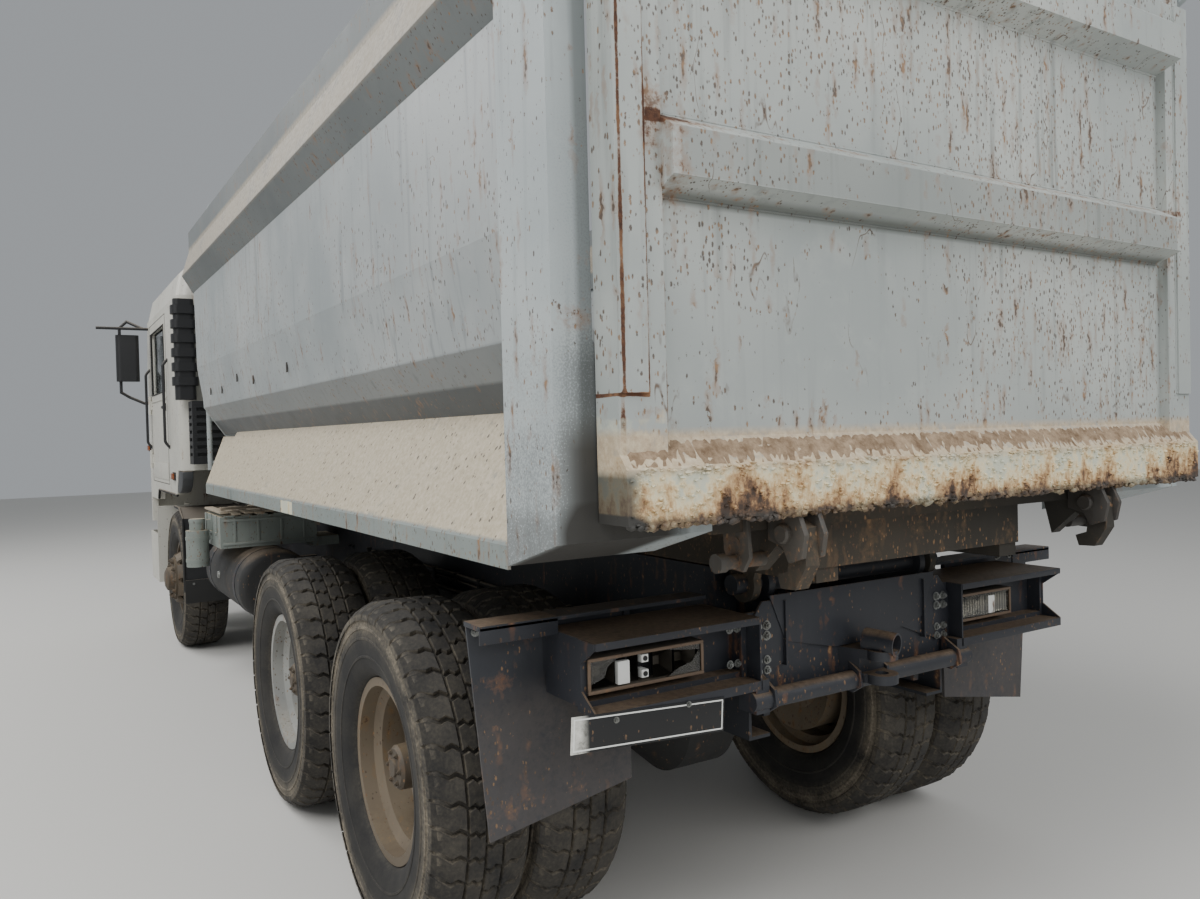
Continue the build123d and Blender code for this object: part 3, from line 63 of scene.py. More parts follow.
def add(tree, kind, links=None, **settings):
    made = tree.nodes.new(kind)
    for name, value in settings.items():
        setattr(made, name, value)
    fill(tree, made, links or {})
    return made


def makeCamera():
    turn, down, roll = (radians(view[k]) for k in ("turnRight", "down", "roll"))
    ahead = Vector((cos(turn) * cos(down), -sin(turn) * cos(down), -sin(down)))
    right = Vector((-sin(turn), -cos(turn), 0))
    up = right.cross(ahead)
    right, up = right * cos(roll) + up * sin(roll), up * cos(roll) - right * sin(roll)
    data = bpy.data.cameras.new("view")
    data.lens = view["lens"]
    data.sensor_width = 36
    camera = bpy.data.objects.new("view", data)
    turned = Matrix((right, up, -ahead)).transposed().to_4x4()
    camera.matrix_world = Matrix.Translation(view["eye"]) @ turned
    bpy.context.collection.objects.link(camera)
    bpy.context.scene.camera = camera


def makeStage():
    half = studio["floor"] / 2
    mesh = bpy.data.meshes.new("floor")
    corners = [(-half, -half, 0), (half, -half, 0), (half, half, 0), (-half, half, 0)]
    mesh.from_pydata(corners, [], [(0, 1, 2, 3)])
    floor = bpy.data.objects.new("floor", mesh)
    bpy.context.collection.objects.link(floor)
    pale = bpy.data.materials.new("pale studio floor")
    pale.use_nodes = True
    pale.node_tree.nodes["Principled BSDF"].inputs["Base Color"].default_value = linear(studio["floorColour"])
    pale.node_tree.nodes["Principled BSDF"].inputs["Roughness"].default_value = 0.85
    mesh.materials.append(pale)
    world = bpy.data.worlds.new("overcast")
    world.use_nodes = True
    world.node_tree.nodes["Background"].inputs[0].default_value = linear(studio["sky"])
    world.node_tree.nodes["Background"].inputs[1].default_value = studio["skyPower"]
    bpy.context.scene.world = world
    # place, what it looks at, size, power in watts
    lamps = [((-5.0, 7.5, 10.0), (0, 0, 1.4), 7.0, 1150), ((-10.0, -3.0, 7.0), (-2, 0, 1.2), 6.0, 480),
             ((7.0, 6.0, 9.0), (2, 0, 1.5), 6.0, 650), ((-8.5, 3.0, 2.2), (-3, 0.5, 0.9), 3.0, 70)]
    for number, (place, aim, size, power) in enumerate(lamps):
        data = bpy.data.lights.new(f"softbox{number}", "AREA")
        data.size, data.energy = size, power
        lamp = bpy.data.objects.new(f"softbox{number}", data)
        lamp.location = place
        lamp.rotation_euler = (Vector(aim) - Vector(place)).to_track_quat("-Z", "Y").to_euler()
        bpy.context.collection.objects.link(lamp)


makeCamera()
makeStage()
print("camera, floor and lights stand")


# Shapes are gathered in a bmesh and finished as one piece for each body and finish
def addBeam(bm, oneCorner, otherCorner, bevel=0.0):
    low, high = zip(*[sorted(pair) for pair in zip(oneCorner, otherCorner)])
    made = bmesh.ops.create_cube(bm, size=1.0)["verts"]
    for v in made:
        v.co = Vector([low[i] if v.co[i] < 0 else high[i] for i in range(3)])
    if bevel:
        edges = list({e for v in made for e in v.link_edges})
        bmesh.ops.bevel(bm, geom=edges, offset=bevel, segments=2, affect="EDGES", profile=0.6)


def addPlate(bm, outline, axis, oneFace, otherFace, bevel=0.0):
    def place(a, b, c):
        return {0: (c, a, b), 1: (a, c, b), 2: (a, b, c)}[axis]
    ends = [[bm.verts.new(place(a, b, c)) for a, b in outline] for c in sorted((oneFace, otherFace))]
    faces = [bm.faces.new(ends[0]), bm.faces.new(list(reversed(ends[1])))]
    for i in range(len(outline)):
        j = (i + 1) % len(outline)
        faces.append(bm.faces.new((ends[0][j], ends[0][i], ends[1][i], ends[1][j])))
    bmesh.ops.recalc_face_normals(bm, faces=faces)
    if bevel:
        edges = list({e for f in faces for e in f.edges})
        bmesh.ops.bevel(bm, geom=edges, offset=bevel, segments=2, affect="EDGES", profile=0.6)


def rectangle(a0, a1, b0, b1):
    return [(a0, b0), (a1, b0), (a1, b1), (a0, b1)]


def bridge(bm, one, two):
    # a closed strip of faces between two rings with as many points
    turns = [(k, (k + 1) % len(one)) for k in range(len(one))]
    return [bm.faces.new((one[k], one[n], two[n], two[k])) for k, n in turns]


def addTurned(bm, centre, axis, profile, steps=32):
    along = Vector(axis).normalized()
    side = along.orthogonal().normalized()
    cross = along.cross(side)
    rings = []
    for radius, reach in profile:
        base = Vector(centre) + along * reach
        if radius < 1e-6:
            rings.append([bm.verts.new(base)])
        else:
            rings.append([bm.verts.new(base + (side * cos(2 * pi * k / steps)
                                               + cross * sin(2 * pi * k / steps)) * radius)
                          for k in range(steps)])
    faces = []
    for one, two in zip(rings, rings[1:]):
        if len(one) > 1 and len(two) > 1:
            faces += bridge(bm, one, two)
        elif len(one) > 1:
            faces += [bm.faces.new((one[k], one[(k + 1) % steps], two[0])) for k in range(steps)]
        elif len(two) > 1:
            faces += [bm.faces.new((one[0], two[(k + 1) % steps], two[k])) for k in range(steps)]
    for ring in (rings[0], rings[-1]):
        if len(ring) > 1:
            faces.append(bm.faces.new(ring))
    bmesh.ops.recalc_face_normals(bm, faces=faces)


def addTube(bm, points, radius, smooth=True, sides=4, closed=False):
    curve = bpy.data.curves.new("run", "CURVE")
    curve.dimensions = "3D"
    spline = curve.splines.new("NURBS" if smooth else "POLY")
    spline.points.add(len(points) - 1)
    for point, place in zip(spline.points, points):
        point.co = (*place, 1)
    spline.use_cyclic_u = closed
    if smooth:
        spline.order_u = 3
        spline.use_endpoint_u = True
        spline.resolution_u = 6
    curve.bevel_depth = radius
    curve.bevel_resolution = sides
    curve.use_fill_caps = True
    holder = bpy.data.objects.new("run", curve)
    bpy.context.collection.objects.link(holder)
    bpy.context.view_layer.update()
    mesh = bpy.data.meshes.new_from_object(holder.evaluated_get(bpy.context.evaluated_depsgraph_get()))
    bm.from_mesh(mesh)
    bpy.data.objects.remove(holder)
    bpy.data.curves.remove(curve)
    bpy.data.meshes.remove(mesh)


def finishPiece(bm, name, body, material, stands=(), sharp=35):
    mesh = bpy.data.meshes.new(name)
    bm.to_mesh(mesh)
    bm.free()
    return finishMesh(mesh, name, body, material, stands, sharp)


def finishMesh(mesh, name, body, material, stands=(), sharp=35):
    mesh.materials.clear()
    mesh.materials.append(material)
    mesh.shade_smooth()
    mesh.set_sharp_from_angle(angle=radians(sharp))
    piece = bpy.data.objects.new(name, mesh)
    bpy.context.collection.objects.link(piece)
    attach(piece, body)
    if stands:
        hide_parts(*stands)
    return piece


def dress(material, *nodes):
    for node in nodes:
        piece = bpy.data.objects[node]
        if not piece.material_slots:
            piece.data.materials.append(material)
        for spot in piece.material_slots:
            spot.material = material


# Materials. Every coat of paint on this truck is sprayed enamel, chalked by the sun, chipped to rust
# and dusted by the road; each finish has its own facts. Rust and dust zones are boxes where rust or dust
# gathers, shade zones are boxes of painted shade, and soot-and-shade zones hold soot and painted shade
def zoneMask(tree, point, low, high, soft):
    under = add(tree, "ShaderNodeVectorMath", {0: low, 1: point}, operation="SUBTRACT")
    over = add(tree, "ShaderNodeVectorMath", {0: point, 1: high}, operation="SUBTRACT")
    most = add(tree, "ShaderNodeVectorMath", {0: under, 1: over}, operation="MAXIMUM")
    outside = add(tree, "ShaderNodeVectorMath", {0: most, 1: (0, 0, 0)}, operation="MAXIMUM")
    away = add(tree, "ShaderNodeVectorMath", {0: outside}, operation="LENGTH")
    return add(tree, "ShaderNodeMapRange", {0: away, 1: 0.0, 2: soft, 3: 1.0, 4: 0.0})


def zoneShare(tree, point, zones, share=0.0):
    for low, high, soft, strength in zones:
        share = add(tree, "ShaderNodeMath", {0: zoneMask(tree, point, low, high, soft), 1: strength,
                                             2: share}, operation="MULTIPLY_ADD")
    return share


def chipMask(tree, point, scale, stretch, size, soft, where, share):
    # one random spot in each cell; a cell chips where its own random value falls below the local share
    sway = add(tree, "ShaderNodeTexNoise", {"Vector": point, "Scale": scale * 2.2, "Detail": 3.0}).outputs[1]
    bent = add(tree, "ShaderNodeVectorMath", {0: sway, 1: (0.5 / scale,) * 3, 2: point},
               operation="MULTIPLY_ADD")
    spot = add(tree, "ShaderNodeMapping", {"Vector": bent, "Scale": stretch})
    cells = add(tree, "ShaderNodeTexVoronoi", {"Vector": spot, "Scale": scale})
    own = add(tree, "ShaderNodeSeparateColor", {0: cells.outputs["Color"]}).outputs
    likely = add(tree, "ShaderNodeMath", {0: where, 1: share}, operation="MULTIPLY")
    chosen = add(tree, "ShaderNodeMath", {0: own[0], 1: likely}, operation="LESS_THAN")
    reach = add(tree, "ShaderNodeMapRange", {0: own[1], 3: soft, 4: size + soft})
    edge = add(tree, "ShaderNodeMath", {0: reach, 1: cells.outputs["Distance"]}, operation="SUBTRACT")
    shape = add(tree, "ShaderNodeMapRange", {0: edge, 1: 0.0, 2: soft})
    return add(tree, "ShaderNodeMath", {0: chosen, 1: shape}, operation="MULTIPLY")


def startMaterial(name):
    made = bpy.data.materials.new(name)
    made.use_nodes = True
    tree = made.node_tree
    point = add(tree, "ShaderNodeTexCoord").outputs["Object"]
    return made, tree, tree.nodes["Principled BSDF"], point


def finishMaterial(tree, shader, colour, rough, height=None, strength=0.0, distance=0.0):
    ends = {"Base Color": colour, "Roughness": rough}
    if height is not None:
        bump = {"Height": height, "Strength": strength, "Distance": distance}
        ends["Normal"] = add(tree, "ShaderNodeBump", bump)
    fill(tree, shader, ends)


def weatheredEnamel(name, facts):
    made, tree, shader, point = startMaterial(name)
    f = {"fade": 0.5, "specks": 0.5, "rust": 0.66, "rustZones": [], "dustZones": [], "topDust": 0.0,
         "gloss": 0.5, "dark": "5A5F60", "rustDark": "35221A", "rustMid": "5A3A28", "rustPale": "8A6749",
         "dust": "B3A58E", "streaks": 0.25, "metallic": 0.0, "sootAndShadeZones": [], "shadeZones": [],
         "crustZones": [], "crustFoot": (1.46, 1.56), "pits": 0.0, "scratches": 0.0,
         "crustTones": ((0.40, "3A2C22"), (0.44, "6B4F38"), (0.475, "A5835C"), (0.515, "C4AA80"),
                        (0.56, "D6CAA8"), (0.61, "BEC0AE")), **facts}
    # sun-faded areas, hand-sized patches, grain of about 20 mm, flecks in the rust and tan blots in the chips
    broad, patch, grain, fleck, blot = [
        add(tree, "ShaderNodeTexNoise",
            {"Vector": point, "Scale": scale, "Detail": detail, "Roughness": rough})
        for scale, detail, rough in ((0.9, 3.0, 0.6), (6.0, 8.0, 0.65), (55.0, 4.0, 0.7), (17.0, 6.0, 0.6),
                                     (31.0, 2.0, 0.6))]
    drawn = add(tree, "ShaderNodeMapping", {"Vector": point, "Scale": (1, 1, 0.06)})
    runs = add(tree, "ShaderNodeTexNoise", {"Vector": drawn, "Scale": 26.0, "Detail": 3.0, "Roughness": 0.6})
    # upright runs about 20 mm apart, where the paint is faded
    streaks = add(tree, "ShaderNodeMapRange", {0: runs, 1: 0.55, 2: 0.72, 4: f["streaks"]})
    faded = add(tree, "ShaderNodeMapRange", {0: broad, 1: 0.3, 2: 0.6})
    wet = add(tree, "ShaderNodeMath", {0: streaks, 1: faded}, operation="MULTIPLY")
    # each coat is its share and its tone, laid over the ones before it
    coats = [(add(tree, "ShaderNodeMapRange", {0: broad, 1: 0.35, 2: 0.65, 4: f["fade"]}), f["pale"]),
             (add(tree, "ShaderNodeMapRange", {0: patch, 1: 0.5, 2: 0.72, 4: 0.35}), f["pale"]),
             (wet, f["dark"])]
    # painted shade: each shade zone darkens its box toward the finish's dark tone
    coats += [(zoneShare(tree, point, [zone]), f["dark"]) for zone in f["shadeZones"]]
    if f["scratches"]:
        # long bent scrapes follow the level lines of a tall, slow noise
        tall = add(tree, "ShaderNodeMapping", {"Vector": point, "Scale": (1, 1, 0.35)})
        sway = add(tree, "ShaderNodeTexNoise",
                   {"Vector": tall, "Scale": 2.2, "Detail": 4.0, "Roughness": 0.55})
        level = add(tree, "ShaderNodeMath", {0: sway, 1: 0.56}, operation="SUBTRACT")
        level = add(tree, "ShaderNodeMath", {0: level}, operation="ABSOLUTE")
        thin = add(tree, "ShaderNodeMapRange", {0: level, 1: 0.0022, 2: 0.0006})
        rubbed = add(tree, "ShaderNodeMapRange", {0: patch, 1: 0.5, 2: 0.6, 4: f["scratches"]})
        coats.append((add(tree, "ShaderNodeMath", {0: thin, 1: rubbed}, operation="MULTIPLY"), "5E4A3A"))
    weighed = add(tree, "ShaderNodeCombineXYZ", {0: patch, 1: grain, 2: broad})
    field = add(tree, "ShaderNodeVectorMath", {0: weighed, 1: (0.6, 0.25, 0.15)}, operation="DOT_PRODUCT")
    field = zoneShare(tree, point, f["rustZones"], field)
    rust = add(tree, "ShaderNodeMapRange", {0: field, 1: f["rust"], 2: f["rust"] + 0.055})
    halo = add(tree, "ShaderNodeMapRange", {0: field, 1: f["rust"] - 0.07, 2: f["rust"] + 0.02, 4: 0.55})
    # small chips about 30 mm apart, and fewer long ones with a pale brown halo
    mottle = add(tree, "ShaderNodeMath", {0: patch, 1: 0.6, 2: broad}, operation="MULTIPLY_ADD")
    speckled = add(tree, "ShaderNodeMapRange", {0: mottle, 1: 0.62, 2: 0.95})
    small = chipMask(tree, point, 92.0, (1.2, 1.2, 0.6), 0.34, 0.14, speckled, 0.95 * f["specks"])
    long, bleed = [chipMask(tree, point, 15.0, (2.6, 2.6, 0.42), 0.20, soft, speckled, 0.62 * f["specks"])
                   for soft in (0.08, 0.40)]
    chips = add(tree, "ShaderNodeMath", {0: small, 1: long}, operation="MAXIMUM")
    tanned = add(tree, "ShaderNodeMapRange", {0: blot, 1: 0.45, 2: 0.62})
    chipTone = add(tree, "ShaderNodeMix", {0: tanned, 6: linear("46362B"), 7: linear("8A6A4A")},
                   data_type="RGBA")
    rustTone = linear(f["rustDark"])
    for noise, low, high, most, tone in ((grain, 0.35, 0.6, 1.0, f["rustMid"]),
                                         (fleck, 0.5, 0.68, 0.8, f["rustPale"])):
        share = add(tree, "ShaderNodeMapRange", {0: noise, 1: low, 2: high, 4: most})
        rustTone = add(tree, "ShaderNodeMix", {0: share, 6: rustTone, 7: linear(tone)}, data_type="RGBA")
    coats += [(add(tree, "ShaderNodeMath", {0: bleed, 1: 0.5}, operation="MULTIPLY"), f["rustPale"]),
              (add(tree, "ShaderNodeMath", {0: chips, 1: 0.85}, operation="MULTIPLY"), chipTone),
              (halo, f["rustPale"]), (rust, rustTone)]
    if f["crustZones"]:
        # bands eaten through: cream filler, ochre and brown scale in ragged upright streaks
        gathered = zoneShare(tree, point, f["crustZones"])
        for noise, weight in ((patch, 0.9), (grain, 0.2)):
            gathered = add(tree, "ShaderNodeMath", {0: noise, 1: weight, 2: gathered},
                           operation="MULTIPLY_ADD")
        upward = add(tree, "ShaderNodeSeparateXYZ", {0: point}).outputs[2]
        foot = add(tree, "ShaderNodeMapRange", {0: upward, 1: f["crustFoot"][0], 2: f["crustFoot"][1]})
        depth = -0.035
        for scale, stretch, detail, rough, weight in ((7.0, 0.8, 6.0, 0.6, 0.5),
                                                      (30.0, 0.3, 5.0, 0.65, 0.26)):
            tall = add(tree, "ShaderNodeMapping", {"Vector": point, "Scale": (1, 1, stretch)})
            noise = add(tree, "ShaderNodeTexNoise",
                        {"Vector": tall, "Scale": scale, "Detail": detail, "Roughness": rough})
            depth = add(tree, "ShaderNodeMath", {0: noise, 1: weight, 2: depth}, operation="MULTIPLY_ADD")
        for layer, weight in ((grain, 0.24), (foot, 0.11)):
            depth = add(tree, "ShaderNodeMath", {0: layer, 1: weight, 2: depth}, operation="MULTIPLY_ADD")
        layers = add(tree, "ShaderNodeValToRGB", {0: depth})
        stops = layers.color_ramp.elements
        for place, tone in f["crustTones"]:
            stop = stops.new(place)
            stop.color = linear(tone)
        stops.remove(stops[0])
        stops.remove(stops[-1])
        coats.append((add(tree, "ShaderNodeMapRange", {0: gathered, 1: 0.95, 2: 1.08}), layers))
    # soot and painted shade: these zones speckle their boxes toward near-black, as soot at the feet of the
    # post and stile, and as painted shade up the post's inner face and along the tailgate's lower edge
    if f["sootAndShadeZones"]:
        soot = zoneShare(tree, point, f["sootAndShadeZones"])
        pepper = add(tree, "ShaderNodeTexNoise",
                     {"Vector": point, "Scale": 210.0, "Detail": 3.0, "Roughness": 0.6})
        thrown = add(tree, "ShaderNodeMath", {0: soot, 1: 0.5, 2: pepper}, operation="MULTIPLY_ADD")
        thrown = add(tree, "ShaderNodeMapRange", {0: thrown, 1: 0.56, 2: 0.74})
        blackened = add(tree, "ShaderNodeMath", {0: soot, 1: thrown}, operation="MULTIPLY", use_clamp=True)
        coats.append((blackened, "33322F"))
    dusty = 0.0
    if f["topDust"]:
        normal = add(tree, "ShaderNodeNewGeometry").outputs["Normal"]
        up = add(tree, "ShaderNodeSeparateXYZ", {0: normal}).outputs[2]
        settled = add(tree, "ShaderNodeMath", {0: patch, 1: 0.5, 2: up}, operation="MULTIPLY_ADD")
        dusty = add(tree, "ShaderNodeMapRange", {0: settled, 1: 0.75, 2: 1.1, 4: f["topDust"]})
    if f["dustZones"]:
        loose = add(tree, "ShaderNodeMath", {0: patch, 1: grain}, operation="ADD")
        loose = add(tree, "ShaderNodeMapRange", {0: loose, 1: 0.62, 2: 0.98})
        gathered = zoneShare(tree, point, f["dustZones"])
        dusty = add(tree, "ShaderNodeMath", {0: gathered, 1: loose, 2: dusty}, operation="MULTIPLY_ADD",
                    use_clamp=True)
    if f["topDust"] or f["dustZones"]:
        share = add(tree, "ShaderNodeMapRange", {0: grain, 1: 0.35, 2: 0.7})
        dust, pale = linear(f["dust"]), linear(f.get("dustPale", f["dust"]))
        coats.append((dusty, add(tree, "ShaderNodeMix", {0: share, 6: dust, 7: pale}, data_type="RGBA")))
    if f["pits"]:
        where = add(tree, "ShaderNodeMapRange", {0: patch, 1: 0.3, 2: 0.6})
        pits = chipMask(tree, point, 55.0, (1, 1, 0.8), 0.30, 0.08, where, 0.5 * f["pits"])
        coats.append((pits, "5A5143"))
    colour = linear(f["base"])
    for share, tone in coats:
        tone = linear(tone) if isinstance(tone, str) else tone
        colour = add(tree, "ShaderNodeMix", {0: share, 6: colour, 7: tone}, data_type="RGBA")
    rough, height = f["gloss"], 0.0
    for noise, weight, clamped in ((patch, 0.25, False), (rust, 0.3, True)):
        rough = add(tree, "ShaderNodeMath", {0: noise, 1: weight, 2: rough}, operation="MULTIPLY_ADD",
                    use_clamp=clamped)
    for layer, weight in ((rust, grain), (patch, 0.35), (chips, -0.4)):
        height = add(tree, "ShaderNodeMath", {0: layer, 1: weight, 2: height}, operation="MULTIPLY_ADD")
    shader.inputs["Metallic"].default_value = f["metallic"]
    finishMaterial(tree, shader, colour, rough, height, 0.35, 0.004)
    return made


# Mild-steel tub, chalked blue-grey: brown chips everywhere, more of them low down
tubPaint = weatheredEnamel("chalked blue-grey enamel", {
    "base": "82898A", "pale": "A2A7A5", "specks": 0.7, "rust": 0.69, "fade": 0.7, "gloss": 0.45,
    "streaks": 0.4})
wallPaint = weatheredEnamel("rubbed blue-grey enamel", {
    "base": "8C9293", "pale": "AEB1AF", "specks": 0.5, "rust": 0.74, "fade": 0.6, "gloss": 0.34,
    "streaks": 0.45, "scratches": 0.8, "dark": "44494B",
    "rustZones": [((-3.9, 1.0, 1.86), (0.9, 1.3, 1.94), 0.04, 0.05)],
    # painted shade: the shade zones darken the side wall's two lower bands toward the dark tone, the lowest
    # band fully
    "shadeZones": [((-3.9, 1.0, 1.5), (1.1, 1.3, 1.885), 0.010, 0.47),
                   ((-3.9, 1.0, 1.5), (1.1, 1.3, 1.793), 0.010, 1.0)]})
# The tailgate is hit by every load: chips all over, its lowest band eaten to ochre rust under caked dirt.
# The box edges that rust first are the mid rib's top, the stiles' seams and the stile's foot
gatePaint = weatheredEnamel("chipped tailgate enamel", {
    "base": "949A98", "pale": "B5B8B3", "specks": 1.0, "rust": 0.69, "fade": 0.8, "streaks": 0.5,
    "scratches": 0.9, "dark": "5C605C",
    "rustZones": [((-4.2, 0.99, 2.18), (-3.8, 1.05, 2.36), 0.07, 0.17),
                  ((-4.2, 1.124, 1.74), (-3.8, 1.129, 2.9), 0.006, 0.30),
                  ((-4.2, 1.124, 1.60), (-3.8, 1.131, 1.74), 0.007, 0.20),
                  ((-4.2, 1.059, 1.74), (-3.8, 1.063, 2.6), 0.004, 0.24),
                  ((-4.2, 1.06, 1.732), (-3.8, 1.18, 1.737), 0.004, 0.34),
                  ((-4.2, -1.1, 2.322), (-4.0, 1.05, 2.334), 0.010, 0.15),
                  ((-4.2, 0.995, 1.60), (-3.8, 1.000, 1.98), 0.008, 0.30),
                  ((-4.2, -1.3, 1.64), (-3.8, 1.3, 1.70), 0.15, 0.03),
                  ((-4.2, 1.04, 1.56), (-3.8, 1.10, 1.70), 0.05, 0.12)],
    # painted shade: a band of painted shadow under the mid rib, and painted shade on the rib's face that
    # slopes down and away from the light
    "shadeZones": [((-4.2, -0.99, 2.160), (-3.9, 0.99, 2.171), 0.012, 0.8),
                   ((-4.2, -0.99, 2.2), (-4.03, 0.99, 2.298), 0.005, 0.4)],
    # soot over the stile's foot, and a dark ragged strip along the gate's lower edge that is partly grime and
    # partly painted shadow
    "sootAndShadeZones": [((-4.2, 1.13, 1.44), (-3.8, 1.18, 1.56), 0.05, 0.85),
                  ((-4.2, -1.3, 1.40), (-3.8, 1.3, 1.464), 0.020, 0.7)],
    "crustZones": [((-4.2, -1.3, 1.40), (-3.8, 1.3, 1.580), 0.03, 0.75),
                   ((-4.2, 1.02, 1.40), (-3.8, 1.14, 1.68), 0.10, 0.42)],
    "dustZones": [((-4.038, -1.3, 1.578), (-3.8, 1.3, 1.645), 0.02, 0.9)],
    "dust": "A8937A", "dustPale": "C9BA9F"})
postPaint = weatheredEnamel("scuffed post enamel", {
    "base": "929A9C", "pale": "B4BAB9", "specks": 0.8, "rust": 0.70, "fade": 0.75, "streaks": 0.4,
    "scratches": 0.6, "dark": "555A5A",
    "rustZones": [((-3.98, 1.0, 1.90), (-3.86, 1.2, 2.10), 0.05, 0.10)],
    # painted shade on the post's rear face
    "shadeZones": [((-4.1, 0.9, 1.30), (-3.90, 1.168, 3.2), 0.015, 0.6)],
    # speckled soot, thickest at the post's foot; the taller, weaker zones also paint shade up its inner face
    "sootAndShadeZones": [((-4.0, 0.98, 1.20), (-3.60, 1.20, 1.44), 0.07, 0.5),
                  ((-4.0, 0.98, 1.20), (-3.60, 1.19, 1.62), 0.08, 0.4),
                  ((-4.0, 0.98, 1.20), (-3.60, 1.18, 1.80), 0.10, 0.35),
                  ((-4.0, 0.98, 1.20), (-3.60, 1.15, 2.3), 0.12, 0.2)]})
# Skirt slopes hold a crust of cream dust with small dark pits
skirtPaint = weatheredEnamel("dust-caked skirt enamel", {
    "base": "6F7876", "pale": "8F9691", "specks": 1.0, "rust": 0.73, "dust": "A2967F", "dustPale": "BEB39D",
    "pits": 0.9,
    "dustZones": [((-4.0, -1.3, 1.415), (1.1, 1.3, 1.75), 0.012, 1.6)],
    "crustZones": [((-1.62, 1.0, 1.345), (-1.42, 1.3, 1.395), 0.006, 0.62)],
    "crustFoot": (1.3, 1.34),
    "rustZones": [((-2.25, 1.0, 1.34), (-2.235, 1.3, 1.60), 0.012, 0.14)]})
# painted shade: the rail's base is darker than the tub's blue-grey to stand for the shade on its underside
railPaint = weatheredEnamel("dusty rail enamel", {
    "base": "616667", "pale": "7D817F", "specks": 0.6, "rust": 0.73, "topDust": 0.8, "dust": "958A77",
    "dustPale": "AFA594",
    "dustZones": [((-3.7, -1.3, 2.77), (1.1, 1.3, 2.93), 0.02, 0.8)]})
# Chassis black is thick brushed enamel over grit, with tan dust on whatever faces up
chassisPaint = weatheredEnamel("chassis black enamel", {
    "base": "15171C", "pale": "262A31", "dark": "0B0B0D", "specks": 0.5, "rust": 0.71, "topDust": 0.55,
    "gloss": 0.5, "dust": "6E5D4A", "dustPale": "8F7D66", "rustMid": "5C3B24", "rustPale": "6B4A31"})
underPaint = weatheredEnamel("under-body grime", {
    "base": "1D1E20", "pale": "33322F", "dark": "0C0C0C", "specks": 0.2, "rust": 0.68, "topDust": 0.6,
    "gloss": 0.65, "dust": "5E5142", "dustPale": "7A6A56", "rustMid": "4A3222", "rustPale": "5A4230"})
bedUnderPaint = weatheredEnamel("rusting underframe enamel", {
    "base": "26241F", "pale": "40392F", "dark": "141210", "specks": 0.8, "rust": 0.62, "fade": 0.9,
    "topDust": 0.6, "gloss": 0.7, "dust": "5E5142", "dustPale": "7A6A56", "rustMid": "4C3322",
    "rustPale": "70583E"})
lampBoxPaint = weatheredEnamel("lamp box black enamel", {
    "base": "1E2026", "pale": "33363D", "dark": "0E0E10", "specks": 0.6, "rust": 0.73, "topDust": 0.85,
    "gloss": 0.42, "dust": "5B4C3E", "dustPale": "7D6B57", "rustMid": "6A3F22", "rustPale": "7A5030"})
flapPaint = weatheredEnamel("rusting flap steel", {
    "base": "1F2126", "pale": "3A3D43", "dark": "131416", "specks": 1.0, "rust": 0.675, "fade": 0.9,
    "topDust": 0.3, "gloss": 0.45, "rustMid": "6E432A", "rustPale": "7F5A40", "dust": "6F5F4E",
    "dustPale": "807060", "scratches": 0.5,
    "dustZones": [((-3.5, -1.3, 0.5), (-3.3, 1.3, 0.90), 0.10, 0.14)],
    "rustZones": [((-3.5, -1.3, 0.975), (-3.3, 1.3, 1.005), 0.03, 0.10),
                  ((-3.5, 0.60, 0.55), (-3.3, 1.3, 0.665), 0.04, 0.06),
                  ((-3.5, 1.20, 0.6), (-3.3, 1.3, 1.0), 0.02, 0.08)]})
cabPaint = weatheredEnamel("cream cab enamel", {
    "base": "B9B7AD", "pale": "CFCDC4", "dark": "85817A", "specks": 0.2, "rust": 0.80, "gloss": 0.25,
    "topDust": 0.35, "dust": "B9AE9A", "streaks": 0.2})
greyPaint = weatheredEnamel("grey chassis-box enamel", {
    "base": "6C736E", "pale": "8E958F", "specks": 0.5, "rust": 0.71, "topDust": 0.85, "dust": "A3967F",
    "dustPale": "C1B69F"})
# the rear rims' dark brown base is partly grime in the dish and partly painted shade
rearRimPaint = weatheredEnamel("ochre-dusted rim enamel", {
    "base": "5C5142", "pale": "7C705E", "dark": "322B24", "specks": 0.8, "rust": 0.62, "fade": 0.9,
    "topDust": 0.3, "dust": "6C5E4A", "dustPale": "86775E", "rustMid": "6B4728", "rustPale": "7E603A"})
hubGrime = weatheredEnamel("oily hub grime", {
    "base": "3C352D", "pale": "5E5343", "dark": "221D18", "specks": 0.6, "rust": 0.66, "fade": 0.9,
    "topDust": 0.4, "dust": "6E5F49", "dustPale": "857458", "rustMid": "5C3D25", "rustPale": "6E5134"})
middleRimPaint = weatheredEnamel("silver rim enamel", {
    "base": "7E7F7C", "pale": "A9A9A4", "dark": "4B4B49", "specks": 0.7, "rust": 0.70, "fade": 0.9,
    "topDust": 0.3, "dust": "A59C8A", "dustPale": "C6BFAF", "metallic": 0.15})


